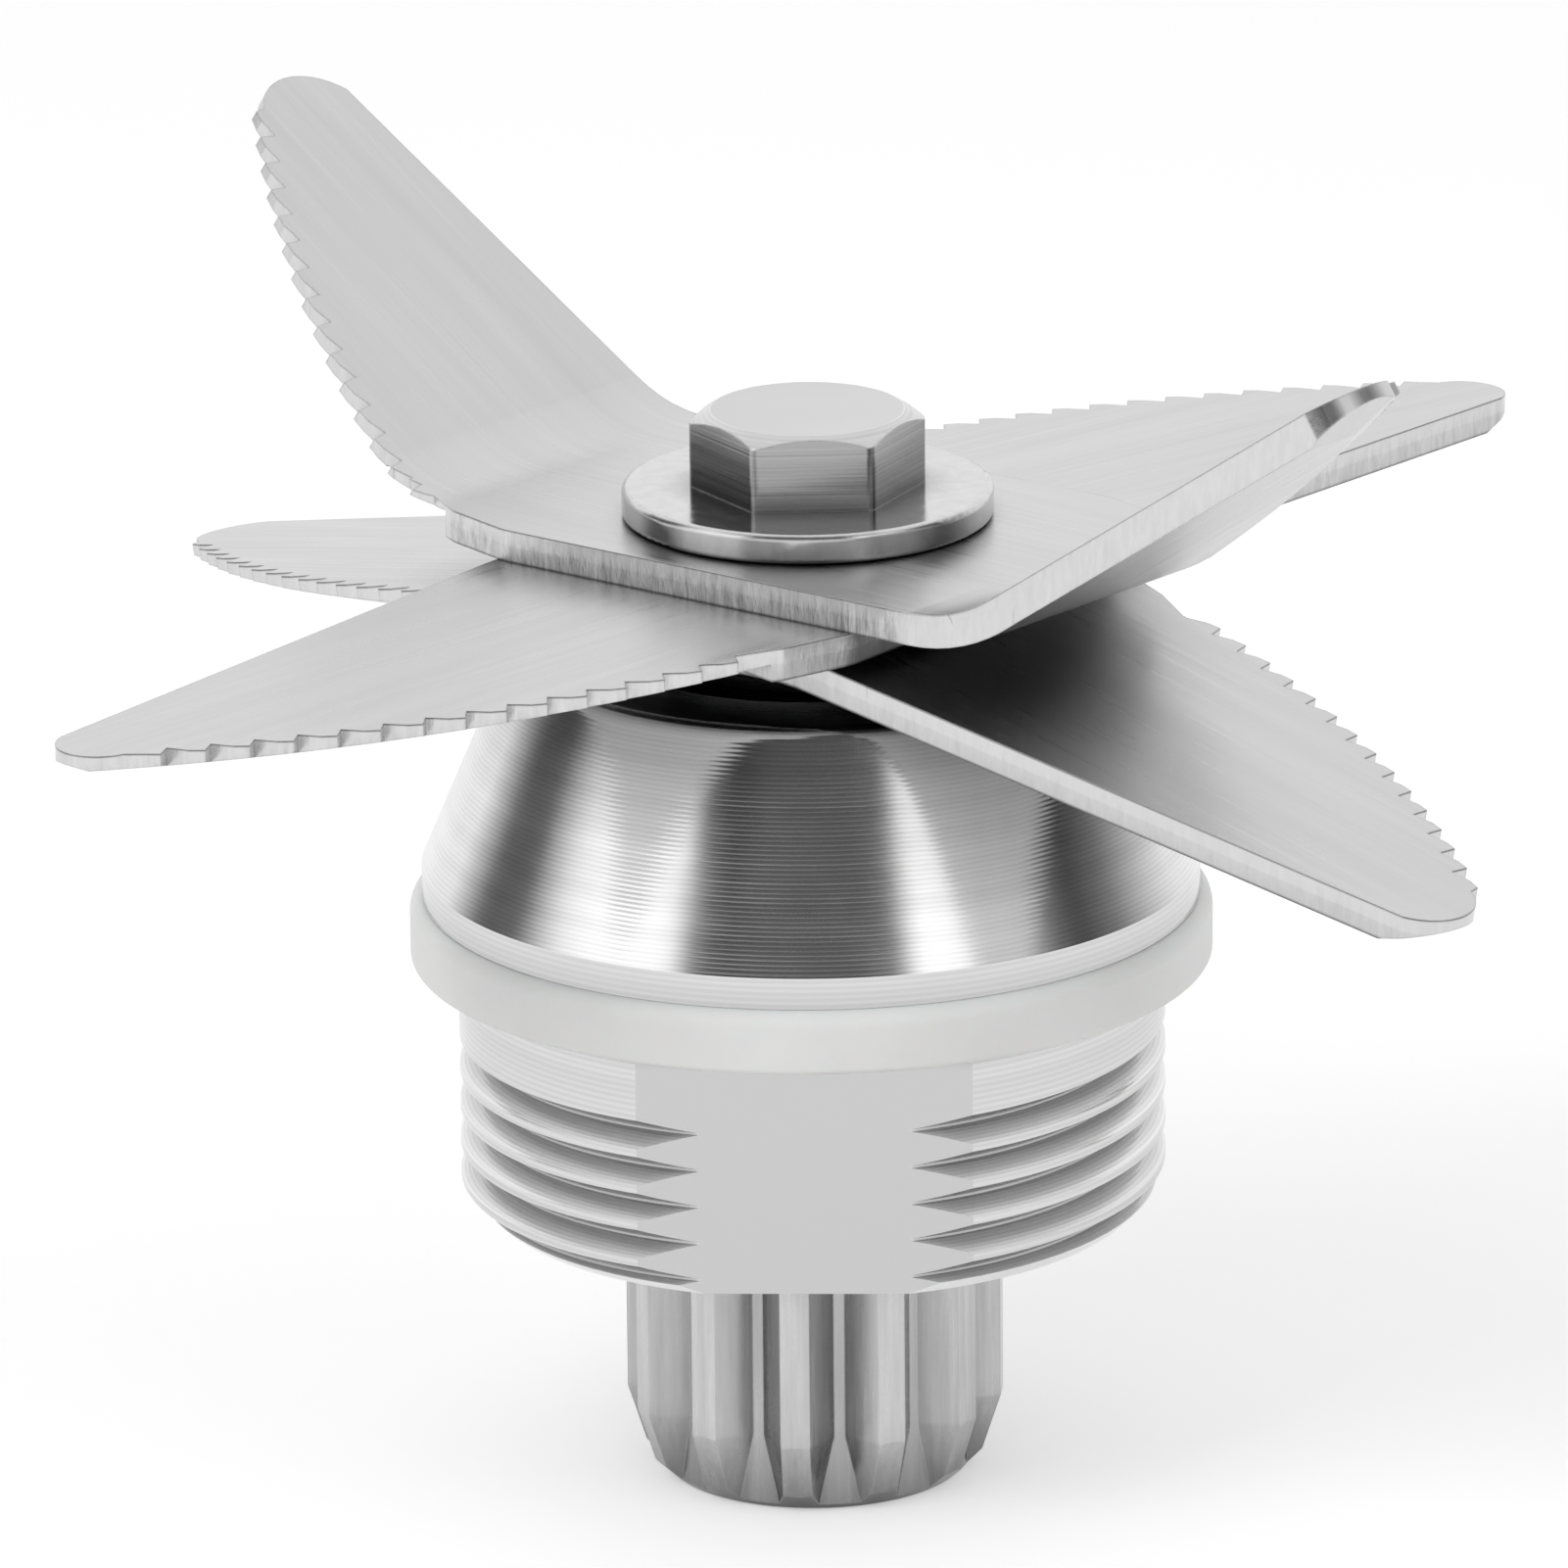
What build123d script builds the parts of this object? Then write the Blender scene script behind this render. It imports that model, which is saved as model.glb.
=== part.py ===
from build123d import *
from math import asin, cos, degrees, radians, sin, tan
import os

os.makedirs("parts", exist_ok=True)

# Millimetres, +Z up the spindle axis, zero at the end of the drive spline.

# Drive end
spline_teeth = 12
spline_length = 16.2
spline_crest_radius = 9.25
spline_root_radius = 7.65
spline_land = 1.38
spline_flank_angle = 30
spline_turn = -94.7
spline_taper_length = 3.8
spline_taper_drop = 1.25
spline_end_radius = 7.35
spline_end_angle = 43.5
shoulder_length = 1.8
shoulder_radius = 6.5

# Ball bearings and what stands between them
bearing_bore_radius = 5.0
bearing_outer_radius = 13.0
bearing_width = 8.0
ball_count = 7
ball_radius = 2.38
ball_clearance = 0.05
inner_ring_wall = 2.4
outer_ring_wall = 2.4
cage_wall = 1.0
cage_end_gap = 0.37
pocket_clearance = 0.1
shield_thickness = 0.4
shield_inset = 0.3
shield_seat = 0.3
shield_gap = 0.25
spacer_length = 2.5
spacer_wall = 2.1
fit_clearance = 0.01
ring_thickness = 1.2
ring_bite = 0.5
ring_depth = 1.6
ring_clearance = 0.05
ring_gap_width = 6.0
ring_eye_radius = 1.5
ring_eye_hole_radius = 0.7

# Housing
mouth_depth = 4.1
neck_radius = 17.25
neck_length = 15.6
neck_chamfer = 1.25
flat_width = 30.5
flange_radius = 18.95
flange_height = 1.55
cone_top_radius = 14.3
cone_edge_radius = 1.0
lip_thickness = 1.0
lip_radius = 8.5
seal_depth = 4.5
seal_pocket_radius = 10.0

# Gasket under the flange
gasket_radius = 19.56
gasket_thickness = 3.15
gasket_clearance = 0.1
gasket_upper_round = 0.8
gasket_lower_round = 0.35

# Shaft seal
seal_wall = 0.8
seal_web = 0.6
seal_web_radius = 7.6
seal_case_height = 3.6
seal_running_gap = 0.05
seal_neck_wall = 0.7
seal_base = 1.0
seal_lip_height = 2.6
seal_lip_edge = 0.35
spring_wire_radius = 0.4

# Collar that carries the plates
collar_sleeve_radius = 6.0
collar_sleeve_length = 4.7
collar_rim_radius = 7.0
collar_rim_height = 2.5
collar_rim_round = 0.4

# Blade plates, all stamped from one outline
sheet = 1.6
boss_square = 8.0
boss_turn = 45.0
boss_clearance = 0.12
boss_set_back = 0.3
plain_offset = 10.8
plain_angle = 9.1
corner_at = 8.6
corner_radius = 3.0
shoulder_at = 12.6
edge_radius = 64.0
edge_crown_at = 8.0
edge_crown_offset = 12.05
teeth_from = 15.0
tooth_count = 15
tooth_depth = 0.85
tooth_tip_share = 0.8
tooth_belly_share = 0.45
tooth_belly_depth = 0.22
tip_length = 1.45
bevel_from = 13.0
bevel_width = 3.0
bevel_height = 1.0
tip_bevel_length = 2.6
upper_turn = -44.4
upper_fold_at = 17.3
upper_fold_radius = 9.0
upper_fold_angle = 34.0
upper_skew_angle = 5.4
upper_reach = 43.6
middle_turn = 44.7
middle_fold_at = 13.2
middle_fold_radius = 40.0
middle_fold_angle = -1.47
middle_skew_angle = 0.0
middle_reach = 45.7
lower_turn = -43.7
lower_fold_at = 8.0
lower_fold_radius = 12.0
lower_fold_angle = -11.0
lower_skew_angle = 0.0
lower_reach = 44.8

# Bolt and washer
washer_radius = 9.0
washer_hole_radius = 3.2
washer_thickness = 1.5
washer_edge_round = 0.3
bolt_radius = 2.95
bolt_length = 18.0
bolt_head_width = 10.0
bolt_head_height = 3.75
bolt_head_turn = 4.55
bolt_corner_round = 0.5
bolt_head_chamfer_angle = 30
bolt_tip_chamfer = 0.5
bolt_hole_clearance = 0.05
bolt_hole_spare = 1.5

# Heights that follow from the stack
lower_bearing_z = spline_length + shoulder_length
spacer_z = lower_bearing_z + bearing_width
upper_bearing_z = spacer_z + spacer_length
bearings_top = upper_bearing_z + bearing_width
ring_z = lower_bearing_z - ring_thickness
housing_z = lower_bearing_z - mouth_depth
flange_z = housing_z + neck_length
cone_z = flange_z + flange_height
seal_z = bearings_top + lip_thickness
housing_top = seal_z + seal_depth
collar_rim_z = bearings_top + collar_sleeve_length
lower_blade_z = collar_rim_z + collar_rim_height
middle_blade_z = lower_blade_z + sheet
upper_blade_z = middle_blade_z + sheet
washer_z = upper_blade_z + sheet
bolt_head_z = washer_z + washer_thickness
bolt_end_z = bolt_head_z - bolt_length

# Radii and slopes that follow from fits and angles
journal_radius = bearing_bore_radius - fit_clearance
inner_land_radius = bearing_bore_radius + inner_ring_wall
outer_land_radius = bearing_outer_radius - outer_ring_wall
pitch_radius = (inner_land_radius + outer_land_radius) / 2
race_radius = ball_radius + ball_clearance
ring_groove_radius = bearing_outer_radius + ring_bite + ring_clearance
plain_slope = tan(radians(plain_angle))


def save(builder, label):
    """Name one piece and write its file."""
    builder.part.label = label
    export_step(builder.part, f"parts/{label}.step")


# Housing: turned body with cone, flange, neck, bearing bore and seal pocket
with BuildPart() as housing:
    with BuildSketch(Plane.XZ):
        with BuildLine():
            Polyline(
                (bearing_outer_radius, housing_z),
                (neck_radius - neck_chamfer, housing_z),
                (neck_radius, housing_z + neck_chamfer),
                (neck_radius, flange_z),
                (flange_radius, flange_z),
                (flange_radius, cone_z),
                (cone_top_radius, housing_top),
                (seal_pocket_radius, housing_top),
                (seal_pocket_radius, seal_z),
                (lip_radius, seal_z),
                (lip_radius, bearings_top),
                (bearing_outer_radius, bearings_top),
                (bearing_outer_radius, lower_bearing_z),
                (ring_groove_radius, lower_bearing_z),
                (ring_groove_radius, ring_z - ring_clearance),
                (bearing_outer_radius, ring_z - ring_clearance),
                close=True,
            )
        make_face()
    revolve(axis=Axis.Z)
    top_edges = housing.edges().filter_by(GeomType.CIRCLE).group_by(Axis.Z)[-1]
    fillet(top_edges.sort_by(SortBy.RADIUS)[-1], radius=cone_edge_radius)
    with BuildSketch(Plane.XY.offset(housing_z)):
        Circle(flange_radius)
        Rectangle(2 * flange_radius, flat_width, mode=Mode.SUBTRACT)
    extrude(amount=neck_length - gasket_thickness, mode=Mode.SUBTRACT)

# Gasket: soft ring pressed up under the flange
with BuildPart() as jar_gasket:
    with BuildSketch(Plane.XY.offset(flange_z - gasket_thickness)):
        Circle(gasket_radius)
        Circle(neck_radius + gasket_clearance, mode=Mode.SUBTRACT)
    extrude(amount=gasket_thickness)
    outer_edges = jar_gasket.edges().filter_by(GeomType.CIRCLE).sort_by(SortBy.RADIUS)[-2:]
    fillet(outer_edges.sort_by(Axis.Z)[-1], radius=gasket_upper_round)
    outer_edges = jar_gasket.edges().filter_by(GeomType.CIRCLE).group_by(Axis.Z)[0]
    fillet(outer_edges.sort_by(SortBy.RADIUS)[-1], radius=gasket_lower_round)


def ridge_outline(crest):
    """Corners of one spline tooth, with the same land whatever its crest radius."""
    foot = spline_root_radius - spline_land / 2
    half_foot = spline_land / 2 + (crest - foot) * tan(radians(spline_flank_angle))
    return (foot, -half_foot), (crest, -spline_land / 2), (crest, spline_land / 2), (foot, half_foot)


# One tooth of the drive spline, lower towards its end
with BuildPart() as spline_ridge:
    with BuildSketch(Plane.XY):
        Polygon(*ridge_outline(spline_crest_radius - spline_taper_drop), align=None)
    with BuildSketch(Plane.XY.offset(spline_taper_length)):
        Polygon(*ridge_outline(spline_crest_radius), align=None)
    loft(ruled=True)
    with BuildSketch(Plane.XY.offset(spline_taper_length)):
        Polygon(*ridge_outline(spline_crest_radius), align=None)
    extrude(amount=spline_length - spline_taper_length)

# Spindle: drive spline, shoulder, bearing journal and square boss in one piece
end_rise = (spline_crest_radius - spline_end_radius) * tan(radians(spline_end_angle))
with BuildPart() as spindle:
    with BuildSketch(Plane.XY):
        Circle(spline_root_radius)
    extrude(amount=spline_length)
    with PolarLocations(0, spline_teeth, start_angle=spline_turn):
        add(spline_ridge.part)
    with BuildSketch(Plane.XZ):
        with BuildLine():
            Polyline(
                (0, 0),
                (spline_end_radius, 0),
                (spline_crest_radius, end_rise),
                (spline_crest_radius, spline_length),
                (0, spline_length),
                close=True,
            )
        make_face()
    revolve(axis=Axis.Z, mode=Mode.INTERSECT)
    with BuildSketch(Plane.XY.offset(spline_length)):
        Circle(shoulder_radius)
    extrude(amount=shoulder_length)
    with BuildSketch(Plane.XY.offset(lower_bearing_z)):
        Circle(journal_radius)
    extrude(amount=lower_blade_z - lower_bearing_z)
    with BuildSketch(Plane.XY.offset(lower_blade_z)):
        Circle(journal_radius)
        Rectangle(boss_square, boss_square, rotation=boss_turn, mode=Mode.INTERSECT)
    extrude(amount=washer_z - boss_set_back - lower_blade_z)
    with BuildSketch(Plane.XY.offset(bolt_end_z - bolt_hole_spare)):
        Circle(bolt_radius + bolt_hole_clearance)
    extrude(amount=bolt_length, mode=Mode.SUBTRACT)

# Collar: flanged bush on the journal, standing on the upper bearing
with BuildPart() as blade_collar:
    with BuildSketch(Plane.XY.offset(bearings_top)):
        Circle(collar_sleeve_radius)
    extrude(amount=collar_sleeve_length)
    with BuildSketch(Plane.XY.offset(collar_rim_z)):
        Circle(collar_rim_radius)
    extrude(amount=collar_rim_height)
    rim_edges = blade_collar.edges().filter_by(GeomType.CIRCLE).group_by(SortBy.RADIUS)[-1]
    fillet(rim_edges.sort_by(Axis.Z)[0], radius=collar_rim_round)
    with BuildSketch(Plane.XY.offset(bearings_top)):
        Circle(bearing_bore_radius)
    extrude(amount=collar_sleeve_length + collar_rim_height, mode=Mode.SUBTRACT)


def edge_point(angle, depth):
    """Point of the serrated edge, at an angle round the centre of its long arc."""
    radius = edge_radius - depth
    return edge_crown_at + radius * sin(angle), edge_crown_offset - edge_radius + radius * cos(angle)


def edge_angle(along):
    """Angle round the arc's centre of a place along the wing."""
    return asin((along - edge_crown_at) / edge_radius)


def plain_point(along):
    """Point of the straight plain edge at a place along the wing."""
    return along, plain_slope * along - plain_offset


def serrated_side(reach, steep_to_tip):
    """Corner, shoulder and teeth of the serrated edge, from the hub to the tip."""
    first = edge_angle(teeth_from)
    last = edge_angle(reach - tip_length)
    step = (last - first) / tooth_count
    shares = [(0, tooth_depth), (tooth_belly_share, tooth_belly_depth), (tooth_tip_share, 0)]
    if not steep_to_tip:
        shares = [(0, tooth_depth), (1 - tooth_tip_share, 0), (1 - tooth_belly_share, tooth_belly_depth)]
    points = [(corner_at, plain_slope * corner_at + plain_offset)]
    points.append(edge_point(edge_angle(shoulder_at), tooth_depth / 4))
    for tooth in range(tooth_count):
        for share, depth in shares:
            points.append(edge_point(first + (tooth + share) * step, depth))
    points.append(edge_point(last, tooth_depth / 2))
    return points


def turned(point, skew):
    """The same point in axes square to the fold line, which lies askew across the wing."""
    along, across = point
    return along * cos(skew) + across * sin(skew), across * cos(skew) - along * sin(skew)


def bevel_section(edge):
    """Corners of the wedge ground off under an edge, across the edge and up the sheet."""
    low = -sheet / 2 - bevel_height
    outside = edge + bevel_width
    return (edge - 2 * bevel_width, low), (outside, low), (outside, low + 3 * bevel_height)


def make_blade(base_z, turn, fold_at, fold_radius, fold_angle, skew_angle, reach, steep_to_tip):
    """Stamp, fold, serrate and grind one two-winged plate."""
    fold = radians(fold_angle)
    skew = radians(skew_angle)
    side = 1 if fold_angle > 0 else -1
    flat = fold_at - fold_radius * tan(abs(fold) / 2)
    bend_centre = (flat, sheet / 2 + side * fold_radius)
    wing_run = Vector(cos(fold), sin(fold)) * (reach - flat)
    edge = [turned(point, skew) for point in serrated_side(reach, steep_to_tip)]
    on_wing = [place for place, point in enumerate(edge) if point[0] >= fold_at][0]
    wing_from = edge[on_wing][0]
    plain = [turned(plain_point(fold_at + shift * sheet), skew) for shift in (-2, 3)]
    plan = [plain[0], plain[1], (plain[1][0], -reach), (2 * reach, -reach), (2 * reach, reach)]
    plan.append((edge[on_wing + 2][0], reach))
    plan.extend(edge[on_wing + 2::-1])
    plan = [(a if a < fold_at else fold_at + (a - fold_at) * cos(fold), b) for a, b in plan]
    plan.extend([(-a, -b) for a, b in plan])
    corner = edge[0][0]
    tip_end = turned(plain_point(reach - tip_length), skew)
    tip_middle = (edge_point(edge_angle(reach), 0)[1] + plain_point(reach)[1]) / 2
    arc_centre = turned((edge_crown_at, edge_crown_offset - edge_radius), skew)
    bend_edge = turned(edge_point(edge_angle(2 * fold_at - flat), 0), skew)[1]
    bevel_end = edge_angle(reach + tip_length)
    bevel_out = turned((sin(bevel_end), cos(bevel_end)), skew)
    facing = radians(turn) + skew
    hub = Plane(origin=(0, 0, base_z), x_dir=(cos(facing), sin(facing), 0), z_dir=(0, 0, 1))
    with BuildPart() as blade:
        with BuildSketch(Plane(origin=hub.origin, x_dir=hub.x_dir, z_dir=-hub.y_dir)):
            with BuildLine():
                under = Line((0, 0), (flat, 0))
                under_bend = CenterArc(bend_centre, fold_radius + side * sheet / 2, -90 * side, fold_angle)
                under_wing = Line(under_bend @ 1, under_bend @ 1 + wing_run)
                over = Line((0, sheet), (flat, sheet))
                over_bend = CenterArc(bend_centre, fold_radius - side * sheet / 2, -90 * side, fold_angle)
                over_wing = Line(over_bend @ 1, over_bend @ 1 + wing_run)
                Line(under_wing @ 1, over_wing @ 1)
                Line(under @ 0, over @ 0)
            make_face()
            mirror(about=Plane.YZ)
        extrude(amount=reach / 2, both=True)
        with BuildSketch(hub) as outline:
            with BuildLine():
                Polyline(*plan, close=True)
            make_face()
            fillet([v for v in outline.vertices() if abs(abs(v.X) - corner) < 0.001], radius=corner_radius)
        extrude(amount=reach, both=True, mode=Mode.INTERSECT)
        for way in (1, -1):
            along_wing = hub.x_dir * way * cos(fold) + hub.z_dir * sin(fold)
            off_wing = hub.z_dir * cos(fold) - hub.x_dir * way * sin(fold)
            fold_line = hub.origin + hub.x_dir * way * fold_at + hub.z_dir * (sheet / 2)
            wing = Plane(origin=fold_line - along_wing * fold_at, x_dir=along_wing, z_dir=off_wing)
            with BuildSketch(wing):
                with Locations((wing_from + reach / 2, 0)):
                    Rectangle(reach, reach)
                with BuildLine():
                    toothed = Polyline(*edge[on_wing:])
                    tip = ThreePointArc(toothed @ 1, turned((reach, tip_middle), skew), tip_end)
                    back = Line(tip @ 1, turned(plain_point(0), skew))
                    Line(back @ 1, toothed @ 0)
                make_face(mode=Mode.SUBTRACT)
            extrude(amount=2 * fold_radius * abs(fold) + 4 * sheet, both=True, mode=Mode.SUBTRACT)
            centre = wing.from_local_coords(Vector(arc_centre[0], arc_centre[1], 0))
            outward = wing.x_dir * bevel_out[0] + wing.y_dir * bevel_out[1]
            with BuildSketch(Plane(origin=centre, x_dir=outward, z_dir=outward.cross(off_wing))):
                Polygon(*bevel_section(edge_radius), align=None)
            bevel_sweep = degrees(bevel_end - edge_angle(max(bevel_from, fold_at)))
            revolve(axis=Axis(centre, off_wing), revolution_arc=bevel_sweep, mode=Mode.SUBTRACT)
            if flat > bevel_from:
                wing_start = wing.from_local_coords(Vector(2 * fold_at - flat, 0, 0))
                with BuildSketch(Plane(origin=wing_start, x_dir=wing.y_dir, z_dir=along_wing)):
                    Polygon(*bevel_section(bend_edge), align=None)
                bend_middle = hub.origin + hub.x_dir * way * flat + hub.z_dir * bend_centre[1]
                bend_axis = Axis(bend_middle, wing.y_dir * side)
                revolve(axis=bend_axis, revolution_arc=abs(fold_angle), mode=Mode.SUBTRACT)
            with BuildSketch(Plane(origin=wing.origin, x_dir=along_wing, z_dir=-wing.y_dir)):
                Polygon(
                    (reach - tip_bevel_length, -sheet / 2),
                    (reach + tip_bevel_length, -sheet / 2),
                    (reach + tip_bevel_length, -sheet / 2 + 2 * bevel_height),
                    align=None,
                )
            extrude(amount=reach / 2, both=True, mode=Mode.SUBTRACT)
        with BuildSketch(hub):
            Circle(journal_radius + boss_clearance)
            Rectangle(
                boss_square + 2 * boss_clearance,
                boss_square + 2 * boss_clearance,
                rotation=boss_turn - turn - skew_angle,
                mode=Mode.INTERSECT,
            )
        extrude(amount=sheet, mode=Mode.SUBTRACT)
    return blade


upper_blade = make_blade(
    upper_blade_z,
    upper_turn,
    upper_fold_at,
    upper_fold_radius,
    upper_fold_angle,
    upper_skew_angle,
    upper_reach,
    True,
)
middle_blade = make_blade(
    middle_blade_z,
    middle_turn,
    middle_fold_at,
    middle_fold_radius,
    middle_fold_angle,
    middle_skew_angle,
    middle_reach,
    False,
)
lower_blade = make_blade(
    lower_blade_z,
    lower_turn,
    lower_fold_at,
    lower_fold_radius,
    lower_fold_angle,
    lower_skew_angle,
    lower_reach,
    True,
)

# Washer between the plates and the bolt head
with BuildPart() as clamp_washer:
    with BuildSketch(Plane.XY.offset(washer_z)):
        Circle(washer_radius)
        Circle(washer_hole_radius, mode=Mode.SUBTRACT)
    extrude(amount=washer_thickness)
    rim = clamp_washer.edges().filter_by(GeomType.CIRCLE).group_by(SortBy.RADIUS)[-1]
    fillet(rim, radius=washer_edge_round)

# Bolt: hexagon head with rounded corners and a chamfered top, shank with a lead-in
head_inscribed = bolt_head_width / 2
with BuildPart() as blade_bolt:
    with BuildSketch(Plane.XY.offset(bolt_head_z)):
        RegularPolygon(head_inscribed, 6, major_radius=False, rotation=bolt_head_turn)
    extrude(amount=bolt_head_height)
    fillet(blade_bolt.edges().filter_by(Axis.Z), radius=bolt_corner_round)
    with BuildSketch(Plane.XZ):
        with BuildLine():
            top_z = bolt_head_z + bolt_head_height
            slope = tan(radians(bolt_head_chamfer_angle))
            Polyline(
                (0, bolt_head_z),
                (2 * head_inscribed, bolt_head_z),
                (2 * head_inscribed, top_z - slope * head_inscribed * 1.06),
                (head_inscribed * 0.94, top_z),
                (0, top_z),
                close=True,
            )
        make_face()
    revolve(axis=Axis.Z, mode=Mode.INTERSECT)
    with BuildSketch(Plane.XY.offset(bolt_end_z)):
        Circle(bolt_radius)
    extrude(amount=bolt_length)
    chamfer(blade_bolt.edges().filter_by(GeomType.CIRCLE).group_by(Axis.Z)[0], length=bolt_tip_chamfer)


def make_inner_ring(base_z):
    """Inner ring of a ball bearing with its groove."""
    with BuildPart() as ring:
        with BuildSketch(Plane.XZ):
            with Locations(((bearing_bore_radius + inner_land_radius) / 2, base_z + bearing_width / 2)):
                Rectangle(inner_land_radius - bearing_bore_radius, bearing_width)
            with Locations((pitch_radius, base_z + bearing_width / 2)):
                Circle(race_radius, mode=Mode.SUBTRACT)
        revolve(axis=Axis.Z)
    return ring


def make_outer_ring(base_z):
    """Outer ring of a ball bearing with its groove and the seats of its shields."""
    middle_z = base_z + bearing_width / 2
    seat_offset = bearing_width / 2 - shield_inset - shield_thickness / 2
    with BuildPart() as ring:
        with BuildSketch(Plane.XZ):
            with Locations(((outer_land_radius + bearing_outer_radius - fit_clearance) / 2, middle_z)):
                Rectangle(bearing_outer_radius - fit_clearance - outer_land_radius, bearing_width)
            with Locations((pitch_radius, middle_z)):
                Circle(race_radius, mode=Mode.SUBTRACT)
            with Locations(
                (outer_land_radius, middle_z + seat_offset),
                (outer_land_radius, middle_z - seat_offset),
            ):
                Rectangle(2 * shield_seat, shield_thickness, mode=Mode.SUBTRACT)
        revolve(axis=Axis.Z)
    return ring


def make_shield(base_z):
    """Thin ring that closes one side of a bearing."""
    with BuildPart() as shield:
        with BuildSketch(Plane.XY.offset(base_z)):
            Circle(outer_land_radius + shield_seat)
            Circle(inner_land_radius + shield_gap, mode=Mode.SUBTRACT)
        extrude(amount=shield_thickness)
    return shield


def make_balls(base_z):
    """Balls of one bearing, evenly spaced round the pitch circle."""
    with BuildPart() as balls:
        with Locations(Plane.XY.offset(base_z + bearing_width / 2)):
            with PolarLocations(pitch_radius, ball_count):
                Sphere(ball_radius)
    return balls


def make_cage(base_z):
    """Ring with a pocket for each ball."""
    pocket_radius = ball_radius + pocket_clearance
    height = bearing_width - 2 * (shield_inset + shield_thickness + cage_end_gap)
    with BuildPart() as cage:
        with BuildSketch(Plane.XY.offset(base_z + (bearing_width - height) / 2)):
            Circle(pitch_radius + cage_wall / 2)
            Circle(pitch_radius - cage_wall / 2, mode=Mode.SUBTRACT)
        extrude(amount=height)
        with Locations(Plane.XY.offset(base_z + bearing_width / 2)):
            with PolarLocations(pitch_radius, ball_count):
                Cylinder(pocket_radius, 2 * cage_wall, rotation=(0, 90, 0), mode=Mode.SUBTRACT)
    return cage


upper_bearing_inner_ring = make_inner_ring(upper_bearing_z)
upper_bearing_outer_ring = make_outer_ring(upper_bearing_z)
upper_bearing_balls = make_balls(upper_bearing_z)
upper_bearing_cage = make_cage(upper_bearing_z)
upper_bearing_bottom_shield = make_shield(upper_bearing_z + shield_inset)
upper_bearing_top_shield = make_shield(upper_bearing_z + bearing_width - shield_inset - shield_thickness)
lower_bearing_inner_ring = make_inner_ring(lower_bearing_z)
lower_bearing_outer_ring = make_outer_ring(lower_bearing_z)
lower_bearing_balls = make_balls(lower_bearing_z)
lower_bearing_cage = make_cage(lower_bearing_z)
lower_bearing_bottom_shield = make_shield(lower_bearing_z + shield_inset)
lower_bearing_top_shield = make_shield(lower_bearing_z + bearing_width - shield_inset - shield_thickness)

# Tubes that hold the two bearings apart
with BuildPart() as inner_spacer:
    with BuildSketch(Plane.XY.offset(spacer_z)):
        Circle(bearing_bore_radius + spacer_wall)
        Circle(bearing_bore_radius, mode=Mode.SUBTRACT)
    extrude(amount=spacer_length)

with BuildPart() as outer_spacer:
    with BuildSketch(Plane.XY.offset(spacer_z)):
        Circle(bearing_outer_radius - fit_clearance)
        Circle(bearing_outer_radius - spacer_wall, mode=Mode.SUBTRACT)
    extrude(amount=spacer_length)

# Spring ring in its groove under the lower bearing, with two eyes beside the gap
ring_inner_radius = bearing_outer_radius - ring_depth
eye_offset = ring_gap_width / 2 + ring_eye_radius
eye_distance = ring_inner_radius - ring_eye_radius / 2
with BuildPart() as retaining_ring:
    with BuildSketch(Plane.XY.offset(ring_z)):
        Circle(bearing_outer_radius + ring_bite)
        Circle(ring_inner_radius, mode=Mode.SUBTRACT)
        with Locations((0, bearing_outer_radius)):
            Rectangle(ring_gap_width, 4 * ring_depth, mode=Mode.SUBTRACT)
        with Locations((eye_offset, eye_distance), (-eye_offset, eye_distance)):
            Circle(ring_eye_radius)
            Circle(ring_eye_hole_radius, mode=Mode.SUBTRACT)
    extrude(amount=ring_thickness)

# Shaft seal: pressed case, rubber lip on the collar and the spring behind it
with BuildPart() as seal_case:
    with BuildSketch(Plane.XZ):
        with BuildLine():
            Polyline(
                (seal_web_radius, seal_z),
                (seal_pocket_radius - fit_clearance, seal_z),
                (seal_pocket_radius - fit_clearance, seal_z + seal_case_height),
                (seal_pocket_radius - seal_wall, seal_z + seal_case_height),
                (seal_pocket_radius - seal_wall, seal_z + seal_web),
                (seal_web_radius, seal_z + seal_web),
                close=True,
            )
        make_face()
    revolve(axis=Axis.Z)

lip_z = seal_z + seal_web
lip_edge_radius = collar_sleeve_radius + seal_running_gap
neck_inside = lip_edge_radius + seal_neck_wall
neck_outside = neck_inside + seal_neck_wall
with BuildPart() as seal_lip:
    with BuildSketch(Plane.XZ):
        with BuildLine():
            Polyline(
                (neck_inside, lip_z),
                (seal_pocket_radius - seal_wall, lip_z),
                (seal_pocket_radius - seal_wall, lip_z + seal_base),
                (neck_outside, lip_z + seal_base),
                (neck_outside, lip_z + seal_lip_height),
                (neck_inside, lip_z + seal_lip_height),
                (lip_edge_radius, lip_z + seal_base + seal_lip_edge + seal_neck_wall),
                (lip_edge_radius, lip_z + seal_base + seal_lip_edge),
                close=True,
            )
        make_face()
    revolve(axis=Axis.Z)

with BuildPart() as seal_spring:
    with BuildSketch(Plane.XZ):
        with Locations((neck_outside + spring_wire_radius, lip_z + seal_base + spring_wire_radius)):
            Circle(spring_wire_radius)
    revolve(axis=Axis.Z)

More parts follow.
